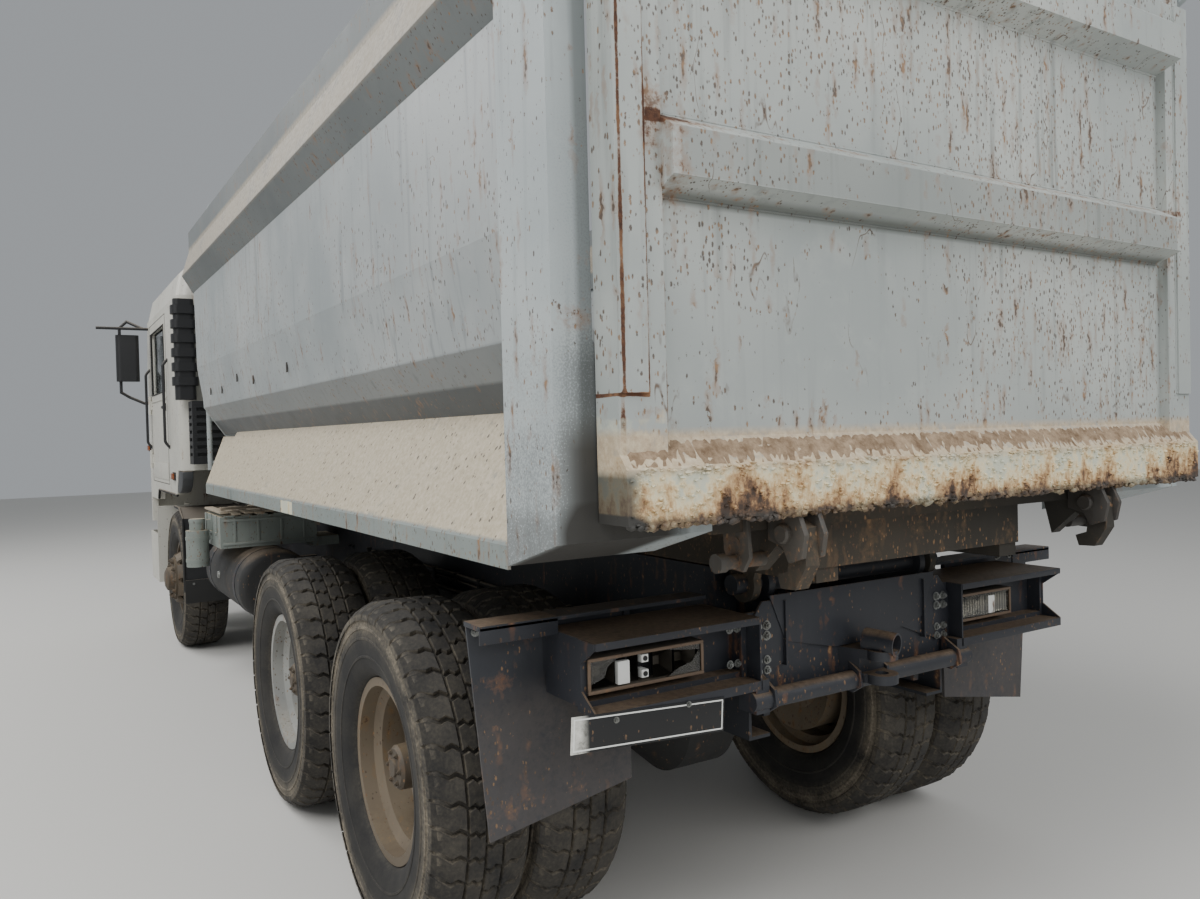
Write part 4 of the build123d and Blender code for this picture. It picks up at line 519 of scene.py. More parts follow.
def mouldedBlack(name, colour, dusting, grit=900.0, rough=0.55):
    made, tree, shader, point = startMaterial(name)
    patch, fine = [
        add(tree, "ShaderNodeTexNoise", {"Vector": point, "Scale": scale, "Detail": detail, "Roughness": 0.6})
        for scale, detail in ((5.0, 6.0), (grit, 1.0))]
    normal = add(tree, "ShaderNodeNewGeometry").outputs["Normal"]
    up = add(tree, "ShaderNodeSeparateXYZ", {0: normal}).outputs[2]
    lying = add(tree, "ShaderNodeMath", {0: up, 1: patch}, operation="ADD")
    settled = add(tree, "ShaderNodeMapRange", {0: lying, 1: 0.7, 2: 1.3, 4: dusting})
    tone = add(tree, "ShaderNodeMix", {0: settled, 6: linear(colour), 7: linear("94897A")}, data_type="RGBA")
    dull = add(tree, "ShaderNodeMath", {0: settled, 1: 0.3, 2: rough}, operation="MULTIPLY_ADD")
    finishMaterial(tree, shader, tone, dull, fine, 0.15, 0.001)
    return made


# ABS trim: matt moulded grain about 1 mm, drawn coarse enough to show
blackPlastic = mouldedBlack("moulded black ABS", "191A1C", 0.45)
greyPlastic = mouldedBlack("moulded grey ABS", "3A3C3E", 0.7)
flapRubber = mouldedBlack("rubber sheet", "1C1C1B", 0.6, 400.0, 0.8)


def makeTyreRubber():
    made, tree, shader, point = startMaterial("carbon-black tyre rubber")
    # Road dust on the shoulder and tread edges, darker where the wall flexes; on the lug edges the pale tone
    # is also a painted highlight
    patch, grit = [
        add(tree, "ShaderNodeTexNoise", {"Vector": point, "Scale": scale, "Detail": detail, "Roughness": 0.6})
        for scale, detail in ((7.0, 7.0), (90.0, 3.0))]
    belt = add(tree, "ShaderNodeAttribute", attribute_name="dustAndHighlightShare").outputs["Fac"]
    loose = add(tree, "ShaderNodeMath", {0: grit, 1: 0.4, 2: patch}, operation="MULTIPLY_ADD")
    loose = add(tree, "ShaderNodeMapRange", {0: loose, 1: 0.45, 2: 0.95})
    share = add(tree, "ShaderNodeMath", {0: loose, 1: belt}, operation="MULTIPLY")
    tones = []
    for noise, low, dark, pale in ((patch, 0.4, "151516", "242321"), (grit, 0.3, "6F6659", "908673")):
        part = add(tree, "ShaderNodeMapRange", {0: noise, 1: low, 2: 0.7})
        ends = {0: part, 6: linear(dark), 7: linear(pale)}
        tones.append(add(tree, "ShaderNodeMix", ends, data_type="RGBA"))
    colour = add(tree, "ShaderNodeMix", {0: share, 6: tones[0], 7: tones[1]}, data_type="RGBA")
    finishMaterial(tree, shader, colour, 0.82, grit, 0.3, 0.002)
    return made


def makeClear(name, colour, rough=0.03, clear=1.0):
    made, tree, shader, point = startMaterial(name)
    smear = add(tree, "ShaderNodeTexNoise", {"Vector": point, "Scale": 6.0, "Detail": 6.0, "Roughness": 0.6})
    film = add(tree, "ShaderNodeMapRange", {0: smear, 1: 0.4, 2: 0.8, 4: 0.35})
    tone = add(tree, "ShaderNodeMix", {0: film, 6: linear(colour), 7: linear("A79F90")}, data_type="RGBA")
    dull = add(tree, "ShaderNodeMath", {0: film, 1: 0.8, 2: rough}, operation="MULTIPLY_ADD")
    finishMaterial(tree, shader, tone, dull)
    shader.inputs["Transmission Weight"].default_value = clear
    shader.inputs["IOR"].default_value = 1.5
    return made


def makeMetal(name, colour, rough):
    made, tree, shader, point = startMaterial(name)
    fine, smear = [
        add(tree, "ShaderNodeTexNoise", {"Vector": point, "Scale": scale, "Detail": detail, "Roughness": 0.6})
        for scale, detail in ((120.0, 3.0), (7.0, 4.0))]
    share = add(tree, "ShaderNodeMapRange", {0: smear, 1: 0.4, 2: 0.75, 4: 0.5})
    tone = add(tree, "ShaderNodeMix", {0: share, 6: linear(colour), 7: linear("6C675E")}, data_type="RGBA")
    dull = add(tree, "ShaderNodeMath", {0: smear, 1: 0.2, 2: rough}, operation="MULTIPLY_ADD")
    finishMaterial(tree, shader, tone, dull, fine, 0.1, 0.001)
    shader.inputs["Metallic"].default_value = 1.0
    return made


def makeCloth():
    made, tree, shader, point = startMaterial("woven seat cloth")
    # 2.5 mm threads, drawn at 6 mm so that they show
    weave = 0.0
    for way in ("X", "Y", "Z"):
        wave = add(tree, "ShaderNodeTexWave", {"Vector": point, "Scale": 165.0, "Distortion": 0.6},
                   bands_direction=way)
        weave = add(tree, "ShaderNodeMath", {0: wave.outputs[1], 1: 0.33, 2: weave}, operation="MULTIPLY_ADD")
    share = add(tree, "ShaderNodeMapRange", {0: weave, 1: 0.3, 2: 0.7})
    tone = add(tree, "ShaderNodeMix", {0: share, 6: linear("2E3238"), 7: linear("4A4F57")}, data_type="RGBA")
    finishMaterial(tree, shader, tone, 0.92, weave, 0.4, 0.002)
    shader.inputs["Sheen Weight"].default_value = 0.25
    return made


def makeLoose(name, dark, pale, lumps):
    made, tree, shader, point = startMaterial(name)
    coarse = add(tree, "ShaderNodeTexNoise",
                 {"Vector": point, "Scale": lumps, "Detail": 7.0, "Roughness": 0.7})
    share = add(tree, "ShaderNodeMapRange", {0: coarse, 1: 0.35, 2: 0.68})
    tone = add(tree, "ShaderNodeMix", {0: share, 6: linear(dark), 7: linear(pale)}, data_type="RGBA")
    finishMaterial(tree, shader, tone, 0.95, coarse, 0.8, 0.006)
    return made


tyreRubber = makeTyreRubber()
cabGlass = makeClear("toughened cab glass", "C9D3D1")
lampGlass = makeClear("clear lamp lens", "E6E4DC", 0.12)
amberLens = makeClear("amber lamp lens", "C4600C", 0.12, 0.6)
chromedSteel = makeMetal("hard-chromed steel", "B9BCBE", 0.12)
zincedSteel = makeMetal("zinc-plated steel", "8F918F", 0.38)
castIron = weatheredEnamel("rusty cast iron", {
    "base": "2F2C29", "pale": "4C4740", "specks": 0.5, "rust": 0.60, "fade": 0.9, "topDust": 0.4,
    "dust": "6B5A46", "rustMid": "5F3D26", "rustPale": "7B5A3C"})
whitePlate = weatheredEnamel("white reflective sheet", {
    "base": "DFE0DC", "pale": "EDEEEA", "specks": 0.3, "rust": 0.9, "gloss": 0.3, "streaks": 0.35})
seatCloth = makeCloth()
cakedDirt = makeLoose("caked dirt", "6B5641", "A8937A", 28.0)
print("materials made:", len(bpy.data.materials))

# Carried CAD nodes get their finishes
dress(tubPaint, "bed_floor", "bed_front_wall")
dress(wallPaint, "bed_sides")
dress(gatePaint, "tailgate_panel", "tailgate_frame")
dress(postPaint, "bed_rear_posts")
dress(skirtPaint, "bed_skirts")
dress(railPaint, "bed_top_rails")
dress(chassisPaint, "chassis_frame", "tipping_subframe", "air_tanks", "hoist_barrel")
dress(bedUnderPaint, "bed_underframe")
dress(underPaint, "front_axle_beam", "leaf_springs", "rear_axle_housings", "prop_shafts", "engine",
      "knuckle_left", "knuckle_right", "tie_rod", "tanks", "exhaust")
dress(lampBoxPaint, "rear_crossbeam")
dress(flapPaint, "mud_flaps")
dress(greyPaint, "battery_box")
dress(cabPaint, "cab_body", "cab_roof", "door_left", "door_right", "front_bumper")
dress(greyPlastic, "cab_floor", "dashboard")
dress(blackPlastic, "air_cleaner", "mirrors", "intake_duct", "front_mudguards")
dress(cabGlass, "cab_glass", "door_glass_left", "door_glass_right")
dress(lampGlass, "headlamps", "tail_lamps")
dress(chromedSteel, "hoist_stage_1", "hoist_stage_2", "hoist_rod")
dress(seatCloth, "seats")
dress(rearRimPaint, "rims_rear_left", "rims_rear_right")
dress(middleRimPaint, "rims_middle_left", "rims_middle_right")
dress(hubGrime, "rim_front_left", "rim_front_right")


# Node trees for whatever repeats: a row along a step, a ring about an axle, and bolts on marked spots
def startTree(name, sockets):
    tree = bpy.data.node_groups.new(name, "GeometryNodeTree")
    tree.interface.new_socket(name="Geometry", in_out="INPUT", socket_type="NodeSocketGeometry")
    for label, kind in sockets:
        tree.interface.new_socket(name=label, in_out="INPUT", socket_type=kind)
    tree.interface.new_socket(name="Material", in_out="INPUT", socket_type="NodeSocketMaterial")
    tree.interface.new_socket(name="Geometry", in_out="OUTPUT", socket_type="NodeSocketGeometry")
    return tree, add(tree, "NodeGroupInput").outputs


def endTree(tree, geometry, material):
    whole = add(tree, "GeometryNodeRealizeInstances", {0: geometry}).outputs[0]
    coloured = add(tree, "GeometryNodeSetMaterial", {"Geometry": whole, "Material": material}).outputs[0]
    add(tree, "NodeGroupOutput", {0: coloured})
    return tree


def rowTree():
    tree, given = startTree("row of copies", [("Count", "NodeSocketInt"), ("Step", "NodeSocketVector")])
    line = add(tree, "GeometryNodeMeshLine", {"Count": given["Count"], "Offset": given["Step"]},
               mode="OFFSET")
    copies = add(tree, "GeometryNodeInstanceOnPoints",
                 {"Points": line.outputs[0], "Instance": given["Geometry"]})
    return endTree(tree, copies.outputs[0], given["Material"])


def ringTree():
    tree, given = startTree("ring about an axle", [("Count", "NodeSocketInt")])
    points = add(tree, "GeometryNodePoints", {"Count": given["Count"]})
    turn = add(tree, "ShaderNodeMath", {0: add(tree, "GeometryNodeInputIndex").outputs[0], 1: 2 * pi},
               operation="MULTIPLY")
    share = add(tree, "ShaderNodeMath", {0: turn.outputs[0], 1: given["Count"]}, operation="DIVIDE")
    spin = add(tree, "ShaderNodeCombineXYZ", {1: share.outputs[0]})
    copies = add(tree, "GeometryNodeInstanceOnPoints",
                 {"Points": points.outputs[0], "Instance": given["Geometry"], "Rotation": spin.outputs[0]})
    return endTree(tree, copies.outputs[0], given["Material"])


def boltTree():
    tree, given = startTree("bolts on spots", [(label, "NodeSocketFloat") for label in
                                               ("Head Height", "Washer Width", "Stud Length")])
    parts = []
    # sides, radius, height for head, washer and stud, as shares of the bolt's size
    for sides, radius, height in ((6, 0.5, given["Head Height"]), (14, given["Washer Width"], 0.12),
                                  (8, 0.26, given["Stud Length"])):
        one = add(tree, "GeometryNodeMeshCylinder", {"Vertices": sides, "Radius": radius, "Depth": height})
        half = add(tree, "ShaderNodeMath", {0: height, 1: 0.5}, operation="MULTIPLY")
        lift = add(tree, "ShaderNodeCombineXYZ", {2: half.outputs[0]})
        parts.append(add(tree, "GeometryNodeTransform",
                         {"Geometry": one.outputs[0], "Translation": lift.outputs[0]}))
    bolt = add(tree, "GeometryNodeJoinGeometry")
    for one in parts:
        tree.links.new(one.outputs[0], bolt.inputs[0])
    aim = add(tree, "GeometryNodeInputNamedAttribute", {"Name": "aim"}, data_type="FLOAT_VECTOR").outputs[0]
    size = add(tree, "GeometryNodeInputNamedAttribute", {"Name": "size"}, data_type="FLOAT").outputs[0]
    turned = add(tree, "FunctionNodeAlignRotationToVector", {"Vector": aim}, axis="Z").outputs[0]
    placed = {"Points": given["Geometry"], "Instance": bolt.outputs[0], "Rotation": turned, "Scale": size}
    copies = add(tree, "GeometryNodeInstanceOnPoints", placed)
    return endTree(tree, copies.outputs[0], given["Material"])


def growMesh(mesh, tree, inputs):
    holder = bpy.data.objects.new("seed", mesh)
    bpy.context.collection.objects.link(holder)
    modifier = holder.modifiers.new("grow", "NODES")
    modifier.node_group = tree
    for item in tree.interface.items_tree:
        if item.in_out == "INPUT" and item.name in inputs:
            modifier[item.identifier] = inputs[item.name]
    bpy.context.view_layer.update()
    grown = bpy.data.meshes.new_from_object(holder.evaluated_get(bpy.context.evaluated_depsgraph_get()))
    bpy.data.objects.remove(holder)
    return grown


def growBmesh(bm, tree, inputs):
    mesh = bpy.data.meshes.new("seed")
    bm.to_mesh(mesh)
    bm.free()
    return growMesh(mesh, tree, inputs)


rowOf, ringOf, boltsOn = rowTree(), ringTree(), boltTree()


def addRow(bm, one, count, step, material):
    grown = growBmesh(one, rowOf, {"Count": count, "Step": step, "Material": material})
    bm.from_mesh(grown)


def bolts(name, body, material, spots, head=0.55, washer=0.72, stud=0.8):
    mesh = bpy.data.meshes.new(name)
    mesh.from_pydata([place for place, aim, size in spots], [], [])
    mesh.attributes.new("aim", "FLOAT_VECTOR", "POINT")
    mesh.attributes.new("size", "FLOAT", "POINT")
    for i, (place, aim, size) in enumerate(spots):
        mesh.attributes["aim"].data[i].vector = aim
        mesh.attributes["size"].data[i].value = size
    grown = growMesh(mesh, boltsOn, {"Head Height": head, "Washer Width": washer, "Stud Length": stud,
                                     "Material": material})
    return finishMesh(grown, name, body, material, sharp=25)


# Tyres: a carcass with moulded rings, and one pitch of worn traction tread set 44 times round it
tyre = {"radius": 0.556, "pitches": 44, "steps": 108, "axleHeight": 0.556, "frontY": 1.010,
        "outerY": 1.090, "innerY": 0.742}
# radius, half width and share of dust from the bead to the middle of the tread
carcass = [(0.290, 0.102, 0.1), (0.304, 0.103, 0.1), (0.309, 0.118, 0.2), (0.318, 0.129, 0.08),
           (0.345, 0.143, 0.05), (0.371, 0.150, 0.05), (0.373, 0.153, 0.15), (0.379, 0.153, 0.15),
           (0.381, 0.151, 0.05), (0.410, 0.1555, 0.05), (0.432, 0.1565, 0.2), (0.434, 0.1585, 0.4),
           (0.440, 0.1585, 0.4), (0.442, 0.1565, 0.3), (0.466, 0.1555, 0.7), (0.468, 0.158, 1.0),
           (0.475, 0.1575, 1.0), (0.477, 0.1545, 0.95), (0.494, 0.152, 1.0), (0.496, 0.154, 1.0),
           (0.502, 0.1535, 1.0), (0.504, 0.151, 0.95), (0.518, 0.148, 0.8), (0.530, 0.142, 0.5),
           (0.538, 0.130, 0.3), (0.541, 0.112, 0.25), (0.541, 0.060, 0.2), (0.541, 0.0, 0.2)]
# Outlines in the tread's own flat plane: metres round the tyre, metres across
centreEdge = [(-0.034, 0.004), (-0.041, 0.019), (-0.027, 0.033), (-0.035, 0.052)]
shoulderEdge = [(-0.040, 0.061), (-0.026, 0.082), (-0.033, 0.104), (-0.014, 0.136), (-0.012, 0.157)]
blockLength = 0.064


def blockOutline(edge):
    return edge + [(u + blockLength, y) for u, y in reversed(edge)]


def treadHeight(across):
    return -0.002 * (across / 0.12) ** 2 - 0.9 * max(0.0, abs(across) - 0.118)


def addBlock(bm, layer, outline, mirror, shift):
    middle = Vector((sum(u for u, y in outline), sum(y for u, y in outline))) / len(outline)
    rings = []
    # inset and height below the running surface of each ring, and its share of dust, which on the lug's edge
    # ring is also a painted highlight
    for inset, depth, dust in ((-0.0015, 0.017, 0.5), (0.0, 0.0025, 0.62), (0.0025, 0.0, 0.2)):
        ring = []
        for u, y in outline:
            inward = (middle - Vector((u, y))).normalized() * inset
            u1, y1 = u + inward.x + shift, (y + inward.y) * mirror
            r = tyre["radius"] - depth + treadHeight(y1)
            v = bm.verts.new((r * sin(u1 / r), y1, r * cos(u1 / r)))
            v[layer] = dust
            ring.append(v)
        rings.append(ring)
    for low, high in zip(rings, rings[1:]):
        bridge(bm, low, high)
    bm.faces.new(rings[-1])


def makeTyreMesh():
    pitch = 2 * pi * tyre["radius"] / tyre["pitches"]
    bm = bmesh.new()
    layer = bm.verts.layers.float.new("dustAndHighlightShare")
    for mirror, shift in ((1, 0.0), (-1, pitch * 0.45)):
        addBlock(bm, layer, blockOutline(centreEdge), mirror, shift)
        addBlock(bm, layer, blockOutline(shoulderEdge), mirror, shift * 0.6 + pitch * 0.2)
    bmesh.ops.recalc_face_normals(bm, faces=bm.faces)
    tread = growBmesh(bm, ringOf, {"Count": tyre["pitches"], "Material": tyreRubber})
    bm = bmesh.new()
    layer = bm.verts.layers.float.new("dustAndHighlightShare")
    rings = []
    section = carcass + [(r, -y, dust) for r, y, dust in reversed(carcass[:-1])]
    for k in range(tyre["steps"]):
        turn = 2 * pi * k / tyre["steps"]
        ring = []
        for r, y, dust in section:
            v = bm.verts.new((r * sin(turn), y, r * cos(turn)))
            v[layer] = dust
            ring.append(v)
        rings.append(ring)
    for ring, other in zip(rings, rings[1:] + rings[:1]):
        bridge(bm, ring, other)
    bmesh.ops.recalc_face_normals(bm, faces=bm.faces)
    bm.from_mesh(tread)
    mesh = bpy.data.meshes.new("one tyre")
    bm.to_mesh(mesh)
    bm.free()
    return mesh


axles = {"front": 2.665, "middle": -1.255, "rear": -2.635}
sides = {"left": 1, "right": -1}
tyreMesh = makeTyreMesh()


def placeTyres(name, body, node, centres):
    bm = bmesh.new()
    bm.verts.layers.float.new("dustAndHighlightShare")
    for x, y in centres:
        before = len(bm.verts)
        bm.from_mesh(tyreMesh)
        bm.verts.ensure_lookup_table()
        bmesh.ops.translate(bm, verts=bm.verts[before:], vec=(x, y, tyre["axleHeight"]))
    finishPiece(bm, name, body, tyreRubber, [node], sharp=40)


for sideName, side in sides.items():
    placeTyres(f"treaded_tyre_front_{sideName}", f"wheel_front_{sideName}", f"tyre_front_{sideName}",
               [(axles["front"], side * tyre["frontY"])])
    for axleName in ("middle", "rear"):
        placeTyres(f"treaded_tyres_{axleName}_{sideName}", f"wheels_{axleName}_{sideName}",
                   f"tyres_{axleName}_{sideName}", [(axles[axleName], side * tyre["outerY"]),
                                                    (axles[axleName], side * tyre["innerY"])])
print("tyres:", len(tyreMesh.polygons), "faces each")

# Planetary hubs on the driven wheels, which reach out almost to the rim's edge
hub = {"face": 0.936, "profile": [(0.136, 0.0), (0.136, 0.018), (0.121, 0.030), (0.118, 0.110),
                                  (0.100, 0.150), (0.076, 0.162), (0.073, 0.225), (0.064, 0.236),
                                  (0.030, 0.238), (0.028, 0.246), (0.0, 0.246)]}
for sideName, side in sides.items():
    for axleName in ("middle", "rear"):
        body = f"wheels_{axleName}_{sideName}"
        x = axles[axleName]
        cover = bmesh.new()
        addTurned(cover, (x, side * hub["face"], tyre["axleHeight"]), (0, side, 0), hub["profile"], 36)
        finishPiece(cover, f"planetary_hub_{axleName}_{sideName}", body, hubGrime, sharp=30)
        spots = []
        for ring, reach, each, size in ((0.108, 0.140, 10, 0.017), (0.052, 0.237, 6, 0.014)):
            spots += [((x + ring * cos(2 * pi * k / each), side * (hub["face"] + reach), tyre["axleHeight"]
                        + ring * sin(2 * pi * k / each)), (0, side, 0), size) for k in range(each)]
        bolts(f"hub_bolts_{axleName}_{sideName}", body, hubGrime, spots)

# Wheel nuts on the hub flanges
nuts = {"ring": 0.146, "size": 0.034, "each": 10, "rearFace": 0.938, "frontFace": 1.190}
for sideName, side in sides.items():
    for axleName, x in axles.items():
        face = nuts["frontFace"] if axleName == "front" else nuts["rearFace"]
        body = f"wheel_front_{sideName}" if axleName == "front" else f"wheels_{axleName}_{sideName}"
        finish = rearRimPaint if axleName == "rear" else hubGrime
        turns = [2 * pi * k / nuts["each"] for k in range(nuts["each"])]
        bolts(f"wheel_nuts_{axleName}_{sideName}", body, finish,
              [((x + nuts["ring"] * cos(t), side * face, tyre["axleHeight"] + nuts["ring"] * sin(t)),
                (0, side, 0), nuts["size"]) for t in turns])
print("wheel nuts on")

# Tail lamps: a tray with a dusty rim in each hood, smoked bowls, two bulb sockets and a white reflector.
# The left lens is broken away but for slivers at its corners; the right one is whole
tailLamp = {"low": 0.978, "high": 1.072, "back": -3.522, "face": -3.576, "wall": 0.006, "rim": 0.009,
            "left": (0.596, 0.972), "right": (-0.785, -0.440)}
trays, lampRims, bowls, clears, sockets = (bmesh.new() for _ in range(5))


def frameBars(y0, y1, z0, z1, wide):
    return ((y0, y1, z1 - wide, z1), (y0, y1, z0, z0 + wide), (y0, y0 + wide, z0 + wide, z1 - wide),
            (y1 - wide, y1, z0 + wide, z1 - wide))


for sideName, outward in sides.items():
    nearY, farY = tailLamp[sideName]
    low, high, face, back, wall, rim = (tailLamp[k] for k in ("low", "high", "face", "back", "wall", "rim"))
    addBeam(trays, (back - 0.004, nearY, low), (back, farY, high))
    for bm, wide, front, rear, bevel in ((trays, wall, face, back - 0.004, 0.0015),
                                         (lampRims, rim, face - 0.005, face, 0.002)):
        for y0, y1, z0, z1 in frameBars(nearY, farY, low, high, wide):
            addBeam(bm, (front, y0, z0), (rear, y1, z1), bevel)
    outer, inner = (farY, nearY) if outward > 0 else (nearY, farY)
    along = inner - outer

    def across(a, b):
        return sorted((outer + along * a, outer + along * b))
    # the shares of the lamp's width that each bowl takes, from the outer end
    for a, b in ((0.05, 0.24), (0.36, 0.44), (0.57, 0.74), (0.76, 0.95)):
        y0, y1 = across(a, b)
        middle = ((y0 + y1) / 2, (low + high) / 2)
        lip, deep = [], []
        for y, z in rectangle(y0, y1, low + 0.012, high - 0.012):
            lip.append(bowls.verts.new((face + 0.012, y, z)))
            deep.append(bowls.verts.new((back - 0.008, y * 0.35 + middle[0] * 0.65,
                                         z * 0.35 + middle[1] * 0.65)))
        bridge(bowls, lip, deep)
        bowls.faces.new(deep)
    y0, y1 = across(0.25, 0.35)
    addBeam(sockets, (face - 0.001, y0, low + 0.012), (face + 0.016, y1, high - 0.020), 0.003)
    for level in (0.28, 0.72):
        y0, y1 = across(0.47, 0.53)
        z = low + (high - low) * level
        addBeam(sockets, (face + 0.010, y0, z - 0.011), (back - 0.006, y1, z + 0.011), 0.002)
        addTurned(trays, (face + 0.0115, (y0 + y1) / 2, z), (-1, 0, 0),
                  [(0.007, 0), (0.007, 0.004), (0.0, 0.004)], 14)
    if outward < 0:
        y0, y1 = across(0.03, 0.97)
        addBeam(clears, (face, y0, low + rim), (face + 0.004, y1, high - rim), 0.001)
        for k in range(24):
            y = y0 + (y1 - y0) * (k + 0.5) / 24
            addBeam(clears, (face + 0.004, y - 0.004, low + 0.014), (face + 0.008, y + 0.004, high - 0.014),
                    0.002)
    else:
        y0, y1 = across(0.03, 0.97)
        z0, z1 = low + rim, high - rim
        for shard in (
                [(y1, z1), (y1 - 0.085, z1), (y1 - 0.052, z1 - 0.018), (y1 - 0.040, z1 - 0.047),
                 (y1, z1 - 0.060)],
                [(y0, z0), (y0 + 0.110, z0), (y0 + 0.070, z0 + 0.020), (y0 + 0.026, z0 + 0.030),
                 (y0, z0 + 0.058)],
                [(y0, z1), (y0, z1 - 0.015), (y0 + 0.060, z1 - 0.010), (y0 + 0.120, z1)]):
            addPlate(clears, shard, 0, face, face + 0.0035)
smokedBowl = makeMetal("soot-darkened reflector", "35322E", 0.30)
dustyRim = weatheredEnamel("dusty lamp rim", {
    "base": "5A4A3C", "pale": "7B6753", "dark": "3A2E25", "specks": 0.6, "rust": 0.66, "fade": 0.9,
    "topDust": 0.7, "dust": "8B7660"})
finishPiece(trays, "tail_lamp_trays", "chassis", blackPlastic, ["tail_lamps"])
finishPiece(lampRims, "tail_lamp_rims", "chassis", dustyRim)
finishPiece(bowls, "tail_lamp_bowls", "chassis", smokedBowl, sharp=20)
finishPiece(clears, "tail_lamp_lenses", "chassis", lampGlass, sharp=30)
finishPiece(sockets, "tail_lamp_sockets", "chassis", whitePlate)

# Blank number plate, black with a thin pale rim, bolted to the left hood's lower lip; its left end is scuffed
plate = {"x": -3.642, "left": 1.063, "right": 0.580, "tilt": 0.062, "low": 0.846, "height": 0.093,
         "thick": 0.003}
blackPlate = weatheredEnamel("black plate enamel", {
    "base": "101113", "pale": "1B1C1E", "dark": "050505", "specks": 0.3, "rust": 0.8, "gloss": 0.35,
    "dust": "B9B8B0", "dustPale": "DAD9D2",
    "dustZones": [((-3.7, 1.040, 0.8), (-3.6, 1.07, 1.0), 0.03, 1.1)]})
rims, field = bmesh.new(), bmesh.new()
halfLong, halfTall = (plate["left"] - plate["right"]) / 2, plate["height"] / 2
for bm, inset, out in ((field, 0.0, 0.0), (rims, 0.006, 0.0012)):
    corners = rectangle(-halfLong + inset, halfLong - inset, -halfTall + inset, halfTall - inset)
    if bm is field:
        addPlate(bm, corners, 0, plate["x"] - plate["thick"], plate["x"], 0.0008)
    else:
        inner = [(y * (1 - 0.014), z * (1 - 0.09)) for y, z in corners]
        for i in range(4):
            j = (i + 1) % 4
            addPlate(bm, [corners[i], corners[j], inner[j], inner[i]], 0, plate["x"] - plate["thick"] - out,
                     plate["x"])
centre = Vector((0, (plate["left"] + plate["right"]) / 2, plate["low"] + halfTall))
for bm in (field, rims):
    bmesh.ops.rotate(bm, verts=bm.verts, cent=(0, 0, 0), matrix=Matrix.Rotation(plate["tilt"], 3, "X"))
    bmesh.ops.translate(bm, verts=bm.verts, vec=centre)
finishPiece(field, "number_plate_blank", "chassis", blackPlate)
finishPiece(rims, "number_plate_rim", "chassis", whitePlate)
bolts("number_plate_bolts", "chassis", zincedSteel,
      [((plate["x"] - plate["thick"], y, 0.925), (-1, 0, 0), 0.012) for y in (0.70, 0.93)])

# Lamp hoods: folded edges, the slot in the lower shelf, and gussets to the frame
hood = {"inner": 0.440, "outer": 0.985, "back": -3.565, "mouth": -3.640, "low": 0.918, "shelf": 0.945,
        "roof": 1.124}
back, mouth, shelf, roof = (hood[k] for k in ("back", "mouth", "shelf", "roof"))
hoods = bmesh.new()
for side in (1, -1):
    for low, high in ((1.105, 1.125), (hood["low"], shelf)):
        addBeam(hoods, (mouth - 0.002, side * hood["inner"], low),
                (mouth + 0.002, side * hood["outer"], high), 0.001)
    addPlate(hoods, [(back, roof), (mouth, roof), (mouth, 1.108), (-3.572, 1.060), (-3.572, 0.990),
                     (mouth, shelf), (back, shelf)], 1, side * 0.983, side * 0.989)
    addPlate(hoods, [(back, roof), (mouth, roof), (mouth, hood["low"]), (back, hood["low"])], 1,
             side * 0.436, side * 0.442)
    # the frame's end brackets lean in from the cross plate to the hood
    addPlate(hoods, [(side * 0.436, 0.925), (side * 0.436, 1.09), (side * 0.385, 1.155), (side * 0.14, 1.155),
                     (side * 0.14, 1.03), (side * 0.30, 0.97)], 0, -3.588, -3.580, 0.001)
    addBeam(hoods, (-3.600, side * 0.300, 0.96), (-3.582, side * 0.306, 1.15))
finishPiece(hoods, "lamp_hood_folds", "chassis", lampBoxPaint, sharp=25)
# where the bolts' faces lie, their sizes, and the rows and columns they stand in
spots = [((x, side * y, z), (-1, 0, 0), size) for x, size, columns, rows in (
    (-3.588, 0.020, (0.405, 0.372), (1.085, 1.055)), (-3.570, 0.017, (0.467, 0.495), (1.085, 0.985)),
    (-3.588, 0.018, (0.405, 0.372), (0.985, 0.955)), (-3.357, 0.018, (1.02, 1.10, 1.185), (1.135,)))
    for side in (1, -1) for y in columns for z in rows]
bolts("rear_frame_bolts", "chassis", zincedSteel, spots)

# Under-run tube: end brackets and the dusty pipe stub above it
underRun = bmesh.new()
addTurned(underRun, (-3.640, 0.02, 1.005), (-0.94, -0.30, -0.06),
          [(0.0, 0), (0.036, 0), (0.036, 0.10), (0.030, 0.10), (0.030, 0.02), (0.0, 0.02)], 24)
for y in (0.06, 0.40):
    for side in (1, -1):
        addPlate(underRun, [(-3.585, 0.955), (-3.655, 0.915), (-3.663, 0.870), (-3.625, 0.845),
                            (-3.585, 0.850)], 1, side * y - 0.005, side * y + 0.005, 0.001)
addPlate(underRun, [(-0.36, 1.17), (0.36, 1.17), (0.30, 1.03), (0.10, 0.985), (-0.10, 0.985), (-0.30, 1.03)],
         0, -3.592, -3.586, 0.001)
finishPiece(underRun, "under_run_brackets", "chassis", lampBoxPaint, sharp=30)

# Flaps: angle strip along the top, a folded outer edge and the hanger rods
flaps = bmesh.new()
for side in (1, -1):
    y0, y1 = side * 0.985, side * 1.215
    addBeam(flaps, (-3.452, y0, 1.153), (-3.350, y1, 1.167), 0.002)
    addBeam(flaps, (-3.452, y0, 1.118), (-3.446, y1, 1.163), 0.0015)
    addBeam(flaps, (-3.367, side * 0.70, 0.945), (-3.359, side * 0.72, 1.16))
finishPiece(flaps, "flap_top_strips", "chassis", lampBoxPaint, sharp=25)
print("rear lamps, plate, hoods and flaps done")

